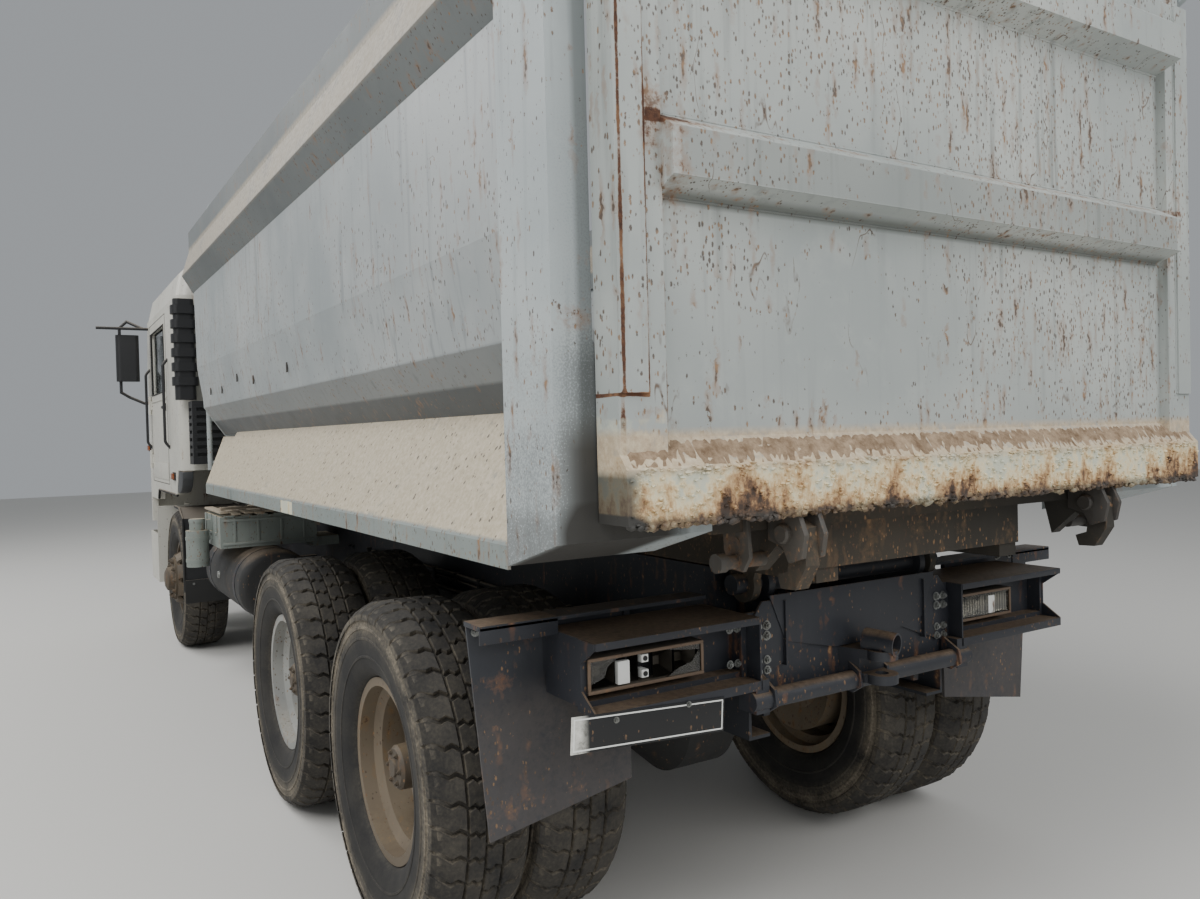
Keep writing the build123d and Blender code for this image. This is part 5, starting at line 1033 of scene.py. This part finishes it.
# Tailgate claws: cheeks and pin round each hook, and the drilled bracket that carries the claw shaft
claw = {"y": 0.620, "cheek": 0.008, "pinX": -3.985, "pinZ": 1.405, "bracket": 0.105, "shaft": 0.085}
claws, pins = bmesh.new(), bmesh.new()
for side in (1, -1):
    for shift in (-0.031, 0.031):
        y = side * claw["y"] + shift
        addPlate(claws, [(-3.925, 1.458), (-4.030, 1.455), (-4.052, 1.405), (-4.040, 1.350), (-3.995, 1.335),
                         (-3.975, 1.372), (-3.925, 1.385)], 1, y - claw["cheek"], y + claw["cheek"], 0.003)
    addTurned(pins, (claw["pinX"], side * claw["y"] - 0.055, claw["pinZ"]), (0, 1, 0),
              [(0.0, 0), (0.020, 0), (0.024, 0.006), (0.024, 0.104), (0.020, 0.110), (0.0, 0.110)], 20)
    y = side * (claw["y"] + claw["bracket"])
    addPlate(claws, [(-3.840, 1.455), (-3.930, 1.452), (-3.940, 1.350), (-3.915, 1.312), (-3.870, 1.315),
                     (-3.845, 1.36)], 1, y - 0.006, y + 0.006, 0.002)
    for hole in (1.385, 1.345):
        addTurned(pins, (-3.895, y - 0.0085, hole), (0, 1, 0),
                  [(0.0, 0), (0.010, 0), (0.010, 0.017), (0.0, 0.017)], 16)
    addTurned(pins, (-3.885, y - side * claw["shaft"], 1.335), (0, side, 0),
              [(0.0, 0), (0.018, 0), (0.018, 0.125), (0.024, 0.125), (0.024, 0.150), (0.0, 0.150)], 16)
finishPiece(claws, "tailgate_claw_cheeks", "bed", castIron, sharp=25)
finishPiece(pins, "tailgate_claw_pins", "bed", castIron, sharp=30)

# Ledge: flaking crust and caked dirt that lie on the steel, and the ragged lower lip
random.seed(7)


def addCrumbs(bm, count, low, high, size, flat=0.5):
    for _ in range(count):
        spot = Vector([random.uniform(low[i], high[i]) for i in range(3)])
        wide = random.uniform(*size)
        made = bmesh.ops.create_icosphere(bm, subdivisions=1, radius=wide)["verts"]
        turn = Matrix.Rotation(random.uniform(0, pi), 3, "Z")
        for v in made:
            v.co = spot + turn @ Vector((v.co.x, v.co.y * random.uniform(0.8, 1.5),
                                         v.co.z * flat)) * random.uniform(0.75, 1.25)


def addBank(bm, xBack, xFront, y0, y1, z, height, cells):
    rows = []
    across = 5
    for i in range(cells + 1):
        y = y0 + (y1 - y0) * i / cells
        row = []
        for j in range(across + 1):
            t = j / across
            swell = height * sin(pi * min(1.0, t * 1.25 + 0.02) / 1.27) * random.uniform(0.35, 1.0)
            row.append(bm.verts.new((xBack + (xFront - xBack) * t + random.uniform(-0.002, 0.002), y,
                                     z(t) + swell)))
        rows.append(row)
    for a, b in zip(rows, rows[1:]):
        for j in range(across):
            bm.faces.new((a[j], b[j], b[j + 1], a[j + 1]))
    bmesh.ops.recalc_face_normals(bm, faces=bm.faces)
    geometry = bmesh.ops.extrude_face_region(bm, geom=bm.faces[:])["geom"]
    bmesh.ops.translate(bm, verts=[g for g in geometry if isinstance(g, bmesh.types.BMVert)],
                        vec=(0, 0, -0.004))


# the ledge slopes up from its rear edge to the panel: x -4.040 z 1.577 to x -3.985 z 1.642
bank = bmesh.new()
addBank(bank, -3.9865, -4.036, -1.12, 1.12, lambda t: 1.637 - 0.062 * t, 0.014, 260)
finishPiece(bank, "ledge_dirt", "tailgate", cakedDirt, sharp=60)
scale = bmesh.new()
addCrumbs(scale, 700, (-4.041, -1.13, 1.462), (-4.0395, 1.13, 1.575), (0.003, 0.008), 0.6)
addCrumbs(scale, 420, (-4.043, -1.13, 1.566), (-4.030, 1.13, 1.580), (0.004, 0.010), 0.5)
addCrumbs(scale, 700, (-4.040, -1.13, 1.452), (-4.020, 1.13, 1.463), (0.004, 0.012), 0.8)
finishPiece(scale, "ledge_rust_flakes", "tailgate", gatePaint, sharp=60)

# Weld beads: short overlapping scallops along each seam of the tailgate
welds = bmesh.new()


def addWeld(bm, start, end, radius):
    start, end = Vector(start), Vector(end)
    count = max(2, int((end - start).length / (radius * 1.15)))
    one = bmesh.new()
    bmesh.ops.create_icosphere(one, subdivisions=1, radius=radius)
    bmesh.ops.translate(one, verts=one.verts, vec=start)
    addRow(bm, one, count, (end - start) / count, castIron)


for z in (2.164, 2.346):
    addWeld(welds, (-3.985, -1.05, z), (-3.985, 1.05, z), 0.0045)
addWeld(welds, (-3.985, -1.05, 2.779), (-3.985, 1.05, 2.779), 0.0045)
for side in (1, -1):
    addWeld(welds, (-4.014, side * 1.061, 1.74), (-4.014, side * 1.061, 3.0), 0.004)
finishPiece(welds, "tailgate_welds", "tailgate", gatePaint, sharp=60)

# Joint strips on the skirts' folded sill edge
sill = bmesh.new()
for side in (1, -1):
    for x in (-2.9, -1.55, -0.25):
        addBeam(sill, (x - 0.012, side * 1.2395, 1.345), (x + 0.012, side * 1.2425, 1.395), 0.001)
finishPiece(sill, "skirt_joint_strips", "bed", skirtPaint)

# Skirts' front corners: the slope runs on to a point at the front of the tub's seam
points = bmesh.new()
for side in (1, -1):
    foot, bend, seam, tip = [points.verts.new(p) for p in ((0.564, side * 1.239, 1.344),
                                                           (0.564, side * 1.2395, 1.3985),
                                                           (0.564, side * 1.044, 1.690),
                                                           (1.055, side * 1.044, 1.694))]
    for face in ((foot, bend, seam), (bend, seam, tip), (foot, bend, tip), (foot, seam, tip)):
        points.faces.new(face)
bmesh.ops.recalc_face_normals(points, faces=points.faces)
finishPiece(points, "skirt_front_points", "bed", skirtPaint, sharp=15)

# Tub walls: the row of welded stubs above the bend, where the props inside were cut off
tubWall = {"bendZ": 1.888, "bendY": 1.160, "spread": 0.040, "rise": 0.262}
stubs = bmesh.new()
for side in (1, -1):
    for x, z in ((-1.35, 1.985), (-0.62, 1.975), (-0.22, 2.01), (0.28, 1.97), (0.66, 1.98)):
        lean = tubWall["spread"] * (z - tubWall["bendZ"]) / tubWall["rise"]
        y = side * (tubWall["bendY"] + lean + 0.001)
        addPlate(stubs, [(x - 0.006, z - 0.022), (x + 0.004, z - 0.024), (x + 0.007, z + 0.018),
                         (x - 0.004, z + 0.022)], 1, y, y + side * 0.007, 0.0015)
finishPiece(stubs, "tub_wall_stubs", "bed", castIron, sharp=30)
print("claws, crust, welds and stubs done")

# Left side under the cab: weathered cover boards on the battery box, its latches, and the dryer's bands
battery = {"back": 0.445, "front": 1.005, "low": 1.001, "top": 1.204, "inner": 0.600, "outer": 1.185}
boards, latches = bmesh.new(), bmesh.new()
random.seed(11)
for k in range(9):
    y = battery["inner"] + 0.03 + k * 0.066
    slip, lift = random.uniform(-0.05, 0.03), random.uniform(0, 0.012)
    addBeam(boards, (battery["back"] - 0.03 + slip, y - 0.026, battery["top"] + lift),
            (battery["front"] - 0.02 + slip, y + 0.026, battery["top"] + 0.014 + lift), 0.003)
addBeam(boards, (0.56, 0.60, battery["top"] + 0.028), (0.60, 1.16, battery["top"] + 0.044), 0.003)
for x in (0.56, 0.74, 0.92):
    addBeam(latches, (x - 0.016, battery["outer"], 1.10), (x + 0.016, battery["outer"] + 0.007, 1.20), 0.002)
    addTurned(latches, (x, battery["outer"], 1.085), (0, 1, 0),
              [(0, 0), (0.011, 0), (0.011, 0.012), (0, 0.012)], 12)
for y in (0.68, 0.82, 0.96, 1.10):
    addBeam(latches, (battery["back"] - 0.006, y - 0.008, battery["low"] + 0.02),
            (battery["back"], y + 0.008, battery["top"] - 0.02), 0.002)
for low in (1.02, 1.165):
    addBeam(latches, (battery["back"] - 0.007, 0.62, low), (battery["back"], 1.17, low + 0.015), 0.002)
weatheredBoards = weatheredEnamel("weathered cover boards", {
    "base": "8E8373", "pale": "B9AD98", "dark": "5B4F42", "specks": 0.5, "rust": 0.70, "rustPale": "9C6B45",
    "topDust": 0.5})
finishPiece(boards, "battery_cover_boards", "chassis", weatheredBoards, sharp=30)
dryer = [(0.765, 1.270, z) for z in (0.90, 1.04)]
for x, y, z in dryer:
    addTurned(latches, (x, y, z), (0, 0, 1), [(0.0685, 0), (0.071, 0), (0.071, 0.02), (0.0685, 0.02)], 28)
addTurned(latches, (0.765, 1.270, 1.165), (0, 0, 1),
          [(0.0, 0.008), (0.047, 0.008), (0.050, 0.0), (0.047, -0.02), (0.044, -0.02)], 24)
finishPiece(latches, "battery_box_latches", "chassis", greyPaint, sharp=30)

# Tanks: strap bands, filler cap and drain plug
bands, caps = bmesh.new(), bmesh.new()


def addRoundedBand(bm, x0, x1, y, z, wide, tall, corner, thick):
    outline, inner = [], []
    for k, (sy, sz) in enumerate(((1, 1), (-1, 1), (-1, -1), (1, -1))):
        for step in range(7):
            turn = radians(90 * k + 90 * step / 6)
            for bag, grow in ((outline, thick), (inner, -0.0005)):
                bag.append((y + sy * (wide / 2 - corner) + (corner + grow) * cos(turn),
                            z + sz * (tall / 2 - corner) + (corner + grow) * sin(turn)))
    rings = [[bm.verts.new((x, *p)) for p in loop]
             for x, loop in ((x0, inner), (x0, outline), (x1, outline), (x1, inner))]
    faces = []
    for one, two in zip(rings, rings[1:] + rings[:1]):
        faces += bridge(bm, one, two)
    bmesh.ops.recalc_face_normals(bm, faces=faces)


# each tank's middle in y and z, its width, height and corner radius, and where its two bands go
band = {"half": 0.03, "thick": 0.004, "air": (0.925, 0.790, 0.430, 0.420, 0.200), "airX": (0.315, 1.165),
        "fuel": (-0.845, 0.820, 0.640, 0.560, 0.090), "fuelX": (0.015, 1.065)}
for tank in ("air", "fuel"):
    for x in band[f"{tank}X"]:
        addRoundedBand(bands, x - band["half"], x + band["half"], *band[tank], band["thick"])
addTurned(caps, (0.30, -0.93, 1.10), (0, 0, 1),
          [(0, 0.045), (0.045, 0.045), (0.05, 0.038), (0.05, 0.012), (0.042, 0.012), (0.042, -0.002),
           (0, -0.002)], 24)
addTurned(caps, (0.80, 1.139, 0.80), (0, 1, 0),
          [(0, 0.012), (0.02, 0.012), (0.024, 0.004), (0.024, -0.002), (0, -0.002)], 18)
for x in (0.72, 1.02):
    addTurned(caps, (x, -1.164, 0.70), (0, -1, 0),
              [(0, 0.010), (0.016, 0.010), (0.016, -0.002), (0, -0.002)], 12)
finishPiece(bands, "tank_bands", "chassis", chassisPaint, sharp=30)
finishPiece(caps, "tank_caps", "chassis", zincedSteel, sharp=30)

# Axles and springs: clips, U-bolts and brake chambers
leaves, chambers = bmesh.new(), bmesh.new()
leaf = {"frontY": 0.400, "bogieY": 0.500}


def addUBolt(bm, x, y, half, low, top, radius):
    legs = [(x, y - half, low), (x, y - half, top), (x, y + half, top), (x, y + half, low)]
    addTube(bm, legs, radius, False, 3)


for side in (1, -1):
    y = side * leaf["frontY"]
    for shift in (-0.085, 0.085):
        addUBolt(leaves, axles["front"] + shift, y, 0.056, 0.60, 0.795, 0.009)
    for x in (2.20, 3.13):
        addBeam(leaves, (x - 0.016, y - 0.050, 0.695), (x + 0.016, y + 0.050, 0.765), 0.003)
    y = side * leaf["bogieY"]
    for x in (-2.45, -1.44):
        addBeam(leaves, (x - 0.02, y - 0.050, 0.655), (x + 0.02, y + 0.050, 0.725), 0.003)
    for x in (-2.07, -1.82):
        addUBolt(leaves, x, y, 0.055, 0.655, 0.86, 0.011)
for x in (axles["rear"], axles["middle"]):
    for side in (1, -1):
        base = Vector((x - 0.20, side * 0.33, 0.70))
        addTurned(chambers, base, (-0.25, 0, 0.97), [(0, 0), (0.055, 0), (0.074, 0.018), (0.076, 0.055),
                                                     (0.083, 0.060), (0.083, 0.072), (0.076, 0.078),
                                                     (0.074, 0.115), (0.055, 0.135), (0, 0.135)], 24)
        addBeam(chambers, (x - 0.235, side * 0.33 - 0.02, 0.57), (x - 0.10, side * 0.33 + 0.02, 0.70), 0.004)
finishPiece(leaves, "spring_clips_and_bolts", "chassis", underPaint, sharp=35)
finishPiece(chambers, "brake_chambers", "chassis", underPaint, sharp=30)

# Air lines and the loom along the rails, held by clips; bolts along the rails at each crossmember
rail = {"face": 0.425, "lineStep": 0.46, "clipStep": 0.27, "boltRows": (0.83, 0.90, 0.97), "bolt": 0.022}
lines = bmesh.new()
for side, z, radius in ((1, 0.985, 0.010), (1, 0.955, 0.007), (-1, 0.985, 0.012), (1, 0.90, 0.014)):
    y = side * 0.4345 + side * radius * 0.4
    points = [(-3.40 + rail["lineStep"] * k, y, z + 0.006 * sin(k * 1.7)) for k in range(8)]
    addTube(lines, points, radius, True, 3)
for k in range(13):
    x = -3.35 + rail["clipStep"] * k
    for side in (1, -1):
        addBeam(lines, (x - 0.012, side * rail["face"], 0.94), (x + 0.012, side * 0.452, 1.0), 0.002)
for x in (axles["rear"], axles["middle"]):
    for side in (1, -1):
        addTube(lines, [(x - 0.17, side * 0.33, 0.84), (x - 0.15, side * 0.36, 0.93),
                        (x + 0.05, side * 0.38, 0.98), (x + 0.14, side * 0.405, 0.92)], 0.009, True, 3)
finishPiece(lines, "air_lines", "chassis", flapRubber, sharp=50)
spots = [((x + shift, side * rail["face"], z), (0, side, 0), rail["bolt"])
         for x in (-3.235, -1.945, -0.735, 0.265, 3.515) for shift in (-0.035, 0.035)
         for z in rail["boltRows"] for side in (1, -1)]
spots += [((x, side * rail["face"], z), (0, side, 0), 0.024)
          for x in (-2.07, -1.97, -1.87, -1.77) for z in (0.79, 0.84) for side in (1, -1)]
bolts("rail_bolts", "chassis", chassisPaint, spots)
print("tanks, axles and air lines done")

# Front mudguards: rubber lip round each rear flap with its bolts
lips = bmesh.new()
for side in (1, -1):
    y0, y1 = sorted((side * 0.765, side * 1.200))
    addBeam(lips, (1.910, y0, 0.455), (1.919, y1, 0.63), 0.003)
    addTube(lips, [(1.9225, y0 + 0.01, 0.55), (1.9225, y0 + 0.004, 1.04), (1.932, y0 + 0.004, 1.085),
                   (2.105, y0 + 0.004, 1.158), (2.33, y0 + 0.004, 1.163)], 0.006, False, 2)
    outer = side * 1.200
    addTube(lips, [(1.9225, outer, 0.55), (1.9225, outer, 1.04), (1.932, outer, 1.088), (2.105, outer, 1.162),
                   (2.33, outer, 1.165)], 0.008, False, 3)
finishPiece(lips, "mudguard_lips", "chassis", flapRubber, sharp=35)
bolts("mudguard_bolts", "chassis", zincedSteel,
      [((1.918, side * y, 0.60), (-1, 0, 0), 0.020) for side in (1, -1) for y in (0.82, 0.98, 1.14)])

# Cab: corner mouldings, arch lips, seals, door trims and door cards
cab = {"front": 3.985, "half": 1.200, "belt": 2.050, "header": 2.760, "lean": 0.190}


def screenX(z):
    return cab["front"] - cab["lean"] * max(0.0, z - cab["belt"]) / (cab["header"] - cab["belt"])


corner, seals, handles = bmesh.new(), bmesh.new(), bmesh.new()
for side in (1, -1):
    # grey mouldings that close the cab's lower rear corners over the mudguards
    addPlate(corner, [(1.880, 1.445), (2.080, 1.445), (2.165, 1.300), (2.150, 1.270), (2.02, 1.285),
                      (1.93, 1.325), (1.885, 1.385)], 1, side * 1.120, side * 1.198, 0.012)
    # wheel-arch lip
    y = side * 1.1985
    arch = [(2.175, y, 1.255), (2.30, y, 1.2585), (2.65, y, 1.2585), (3.05, y, 1.2585), (3.29, y, 1.258),
            (3.345, y, 1.18)]
    addTube(seals, arch, 0.010, False, 3)
    # door seal, window seal and the waist crease
    for low, high, back, front, grow in ((1.330, 2.700, 2.595, 3.655, 0.003),
                                         (2.080, 2.630, 2.680, 3.570, -0.004)):
        ring = [(x, y, z) for x, z in rectangle(back - grow, front + grow, low - grow, high + grow)]
        addTube(seals, ring, 0.0035 if grow > 0 else 0.008, False, 3, True)
finishPiece(corner, "cab_corner_mouldings", "cab", greyPlastic, sharp=40)
windscreen = [(screenX(z) - 0.004, y, z) for y, z in rectangle(-1.055, 1.055, 2.065, 2.685)]
addTube(seals, windscreen, 0.013, False, 3, True)
finishPiece(seals, "cab_rubber_seals", "cab", flapRubber, sharp=50)

door = {"rear": 2.62, "front": 3.63, "inside": 1.150, "card": 0.012}
for sideName, side in sides.items():
    trim, pull = bmesh.new(), bmesh.new()
    y = side * cab["half"]
    for low, high, out, bevel in ((2.02, 2.035, 0.006, 0.002), (1.36, 1.50, 0.005, 0.004)):
        addPlate(trim, rectangle(door["rear"], door["front"], low, high), 1, y - side * 0.001,
                 y + side * out, bevel)
    addBeam(pull, (2.66, y - side * 0.001, 1.925), (2.84, y + side * 0.004, 1.985), 0.003)
    addBeam(pull, (2.68, y + side * 0.002, 1.945), (2.82, y + side * 0.022, 1.968), 0.007)
    addTurned(pull, (2.855, y, 1.955), (0, side, 0), [(0, 0.008), (0.011, 0.008), (0.013, 0.0), (0, 0)], 16)
    finishPiece(trim, f"door_trims_{sideName}", f"door_{sideName}", cabPaint, sharp=30)
    finishPiece(pull, f"door_pull_{sideName}", f"door_{sideName}", blackPlastic, sharp=40)
    card = bmesh.new()
    inner = side * door["inside"]
    padding = inner - side * door["card"]
    addPlate(card, rectangle(door["rear"], door["front"], 1.52, 2.04), 1, inner, padding, 0.005)
    addBeam(card, (2.80, padding, 1.80), (3.30, inner - side * 0.060, 1.85), 0.012)
    finishPiece(card, f"door_card_{sideName}", f"door_{sideName}", greyPlastic, sharp=40)

# Seats: foam cushions with sewn bolsters, backs, headrests and plastic pedestals
seat = {"half": 0.245, "foot": 1.495, "pan": 1.775, "lean": 0.19}


def addCushion(bm, middle, reach, wide, up, halves, crown, seam):
    # a rounded box with a crown, whose sides pull in between its corners, with two sewn channels
    steps, belts = 56, 28
    rings = []
    for b in range(1, belts):
        lift = pi * b / belts - pi / 2
        ring = []
        for k in range(steps):
            turn = 2 * pi * k / steps
            square = max(abs(cos(turn)), abs(sin(turn)))
            flat = abs(cos(lift)) ** 0.35
            a, c = cos(turn) / square ** 0.82 * flat, sin(turn) / square ** 0.82 * flat
            rise = (abs(sin(lift)) ** 0.55) * (1 if lift > 0 else -1)
            pull = 1 - 0.035 * (1 - min(1, abs(a * c)))
            groove = seam * max(0.0, 1 - abs(abs(c) - 0.62) / 0.06) if rise > 0 else 0.0
            swell = crown * (1 - a * a) * (1 - c * c) * (1 if rise > 0 else 0.2)
            ring.append(bm.verts.new(middle + reach * (a * halves[0] * pull) + wide * (c * halves[1] * pull)
                                     + up * (rise * (halves[2] + swell) - groove)))
        rings.append(ring)
    poles = [bm.verts.new(middle + up * (sign * (halves[2] + crown * (1 if sign > 0 else 0.2))))
             for sign in (-1, 1)]
    faces = []
    for one, two in zip(rings, rings[1:]):
        faces += bridge(bm, one, two)
    for pole, ring in zip(poles, (rings[0], rings[-1])):
        faces += [bm.faces.new((pole, ring[k], ring[(k + 1) % steps])) for k in range(steps)]
    bmesh.ops.recalc_face_normals(bm, faces=faces)


ahead, sideways, upward = Vector((1, 0, 0)), Vector((0, 1, 0)), Vector((0, 0, 1))
leaning = (upward - ahead * seat["lean"]).normalized()
facing = (ahead + upward * seat["lean"]).normalized()
pedestals = bmesh.new()
for sideName, side in sides.items():
    y = side * 0.620
    for name, middle, reach, up, halves, crown in (
            ("seat_cushion", (2.620, y, 1.842), ahead, upward, (0.255, seat["half"], 0.058), 0.022),
            ("seat_back", (2.388, y, 2.165), leaning, facing, (0.265, seat["half"] - 0.01, 0.052), 0.016),
            ("headrest", (2.322, y, 2.500), leaning, facing, (0.075, 0.135, 0.042), 0.010)):
        pad = bmesh.new()
        addCushion(pad, Vector(middle), reach, sideways, up, halves, crown, 0.008)
        piece = finishPiece(pad, f"{name}_{sideName}", "cab", seatCloth, sharp=60)
    addBeam(pedestals, (2.42, y - 0.17, seat["foot"]), (2.78, y + 0.17, seat["pan"]), 0.015)
    addBeam(pedestals, (2.39, y - 0.22, seat["pan"] - 0.002), (2.84, y + 0.22, seat["pan"] + 0.018), 0.008)
    for shift in (-0.05, 0.05):
        addTube(pedestals, [(2.335, y + shift, 2.36), (2.325, y + shift, 2.46)], 0.007, False, 3)
finishPiece(pedestals, "seat_pedestals", "cab", blackPlastic, ["seats"], sharp=40)

# Grab rails beside the doors, front grille slats, wipers, visor, marker lamps and roof hatch
for side in (1, -1):
    for x in (2.50, 3.72):
        addTube(handles, [(x, side * 1.196, 1.62), (x, side * 1.235, 1.66), (x, side * 1.235, 1.70),
                          (x, side * 1.235, 2.25), (x, side * 1.235, 2.29), (x, side * 1.196, 2.33)], 0.011,
                True, 4)
finishPiece(handles, "cab_grab_rails", "cab", blackPlastic, sharp=60)
grille, slat = bmesh.new(), bmesh.new()
mask = {"face": 3.986, "half": 0.84, "slats": 9, "slatStep": 0.058, "strips": 5, "stripStep": 0.028}
addPlate(grille, [(-0.86, 1.36), (0.86, 1.36), (0.90, 1.90), (-0.90, 1.90)], 0, 3.984, 3.989, 0.002)
addBeam(slat, (mask["face"], -mask["half"], 1.385), (4.006, mask["half"], 1.415), 0.005)
addRow(grille, slat, mask["slats"], (0, 0, mask["slatStep"]), blackPlastic)
addBeam(grille, (mask["face"], -0.82, 1.17), (3.998, 0.82, 1.33), 0.006)
for k in range(mask["strips"]):
    z = 1.186 + mask["stripStep"] * k
    addBeam(grille, (3.990, -0.78, z), (4.008, 0.78, z + 0.012), 0.003)
finishPiece(grille, "cab_front_grille", "cab", blackPlastic, sharp=35)
wipers = bmesh.new()
for y, reach in ((0.62, 0.50), (-0.12, 0.50), (-0.80, 0.42)):
    foot = Vector((screenX(2.03) + 0.012, y, 2.035))
    tip = Vector((screenX(2.42) + 0.016, y - reach * 0.55, 2.42))
    addTurned(wipers, foot, (1, 0, 0), [(0, 0.016), (0.018, 0.012), (0.02, -0.012), (0, -0.012)], 16)
    addTube(wipers, [foot, foot + (tip - foot) * 0.3, tip], 0.007, False, 3)
    blade = Vector((0, 0.30, 0.10))
    ends = [tip - blade * 0.9, tip + blade * 0.9]
    for end in ends:
        end.x = screenX(end.z) - 0.004
    addTube(wipers, [ends[0], (ends[0] + ends[1]) / 2, ends[1]], 0.008, False, 3)
finishPiece(wipers, "windscreen_wipers", "cab", blackPlastic, sharp=50)
visor = bmesh.new()
addPlate(visor, [(3.815, 2.735), (3.99, 2.700), (4.035, 2.665), (4.030, 2.655), (3.985, 2.688),
                 (3.812, 2.722)], 1, -1.02, 1.02, 0.003)
for y in (-0.85, -0.3, 0.3, 0.85):
    addPlate(visor, [(3.80, 2.75), (3.86, 2.735), (3.82, 2.70), (3.795, 2.72)], 1, y - 0.006, y + 0.006)
finishPiece(visor, "sun_visor", "cab", makeClear("smoked visor sheet", "3A3A34", 0.15, 0.6),
            sharp=30)
hatch = bmesh.new()
addPlate(hatch, rectangle(2.45, 3.15, -0.33, 0.33), 2, 3.028, 3.048, 0.010)
for x in (2.60, 2.80, 3.00):
    addBeam(hatch, (x - 0.03, -0.27, 3.046), (x + 0.03, 0.27, 3.052), 0.003)
finishPiece(hatch, "roof_hatch", "cab", greyPlastic, sharp=35)

markers, ambers = bmesh.new(), bmesh.new()
for side in (1, -1):
    for x, z in ((2.28, 1.40), (3.86, 1.62)):          # on the arch and on the nose
        y = side * 1.199
        for bm, long, tall, near, far, bevel in ((markers, 0.06, 0.032, 0.0, 0.012, 0.004),
                                                 (ambers, 0.050, 0.024, 0.010, 0.026, 0.008)):
            addPlate(bm, rectangle(x - long, x + long, z - tall, z + tall), 1, y + side * near,
                     y + side * far, bevel)
finishPiece(markers, "cab_marker_bases", "cab", blackPlastic, sharp=40)
finishPiece(ambers, "cab_marker_lenses", "cab", amberLens, sharp=40)
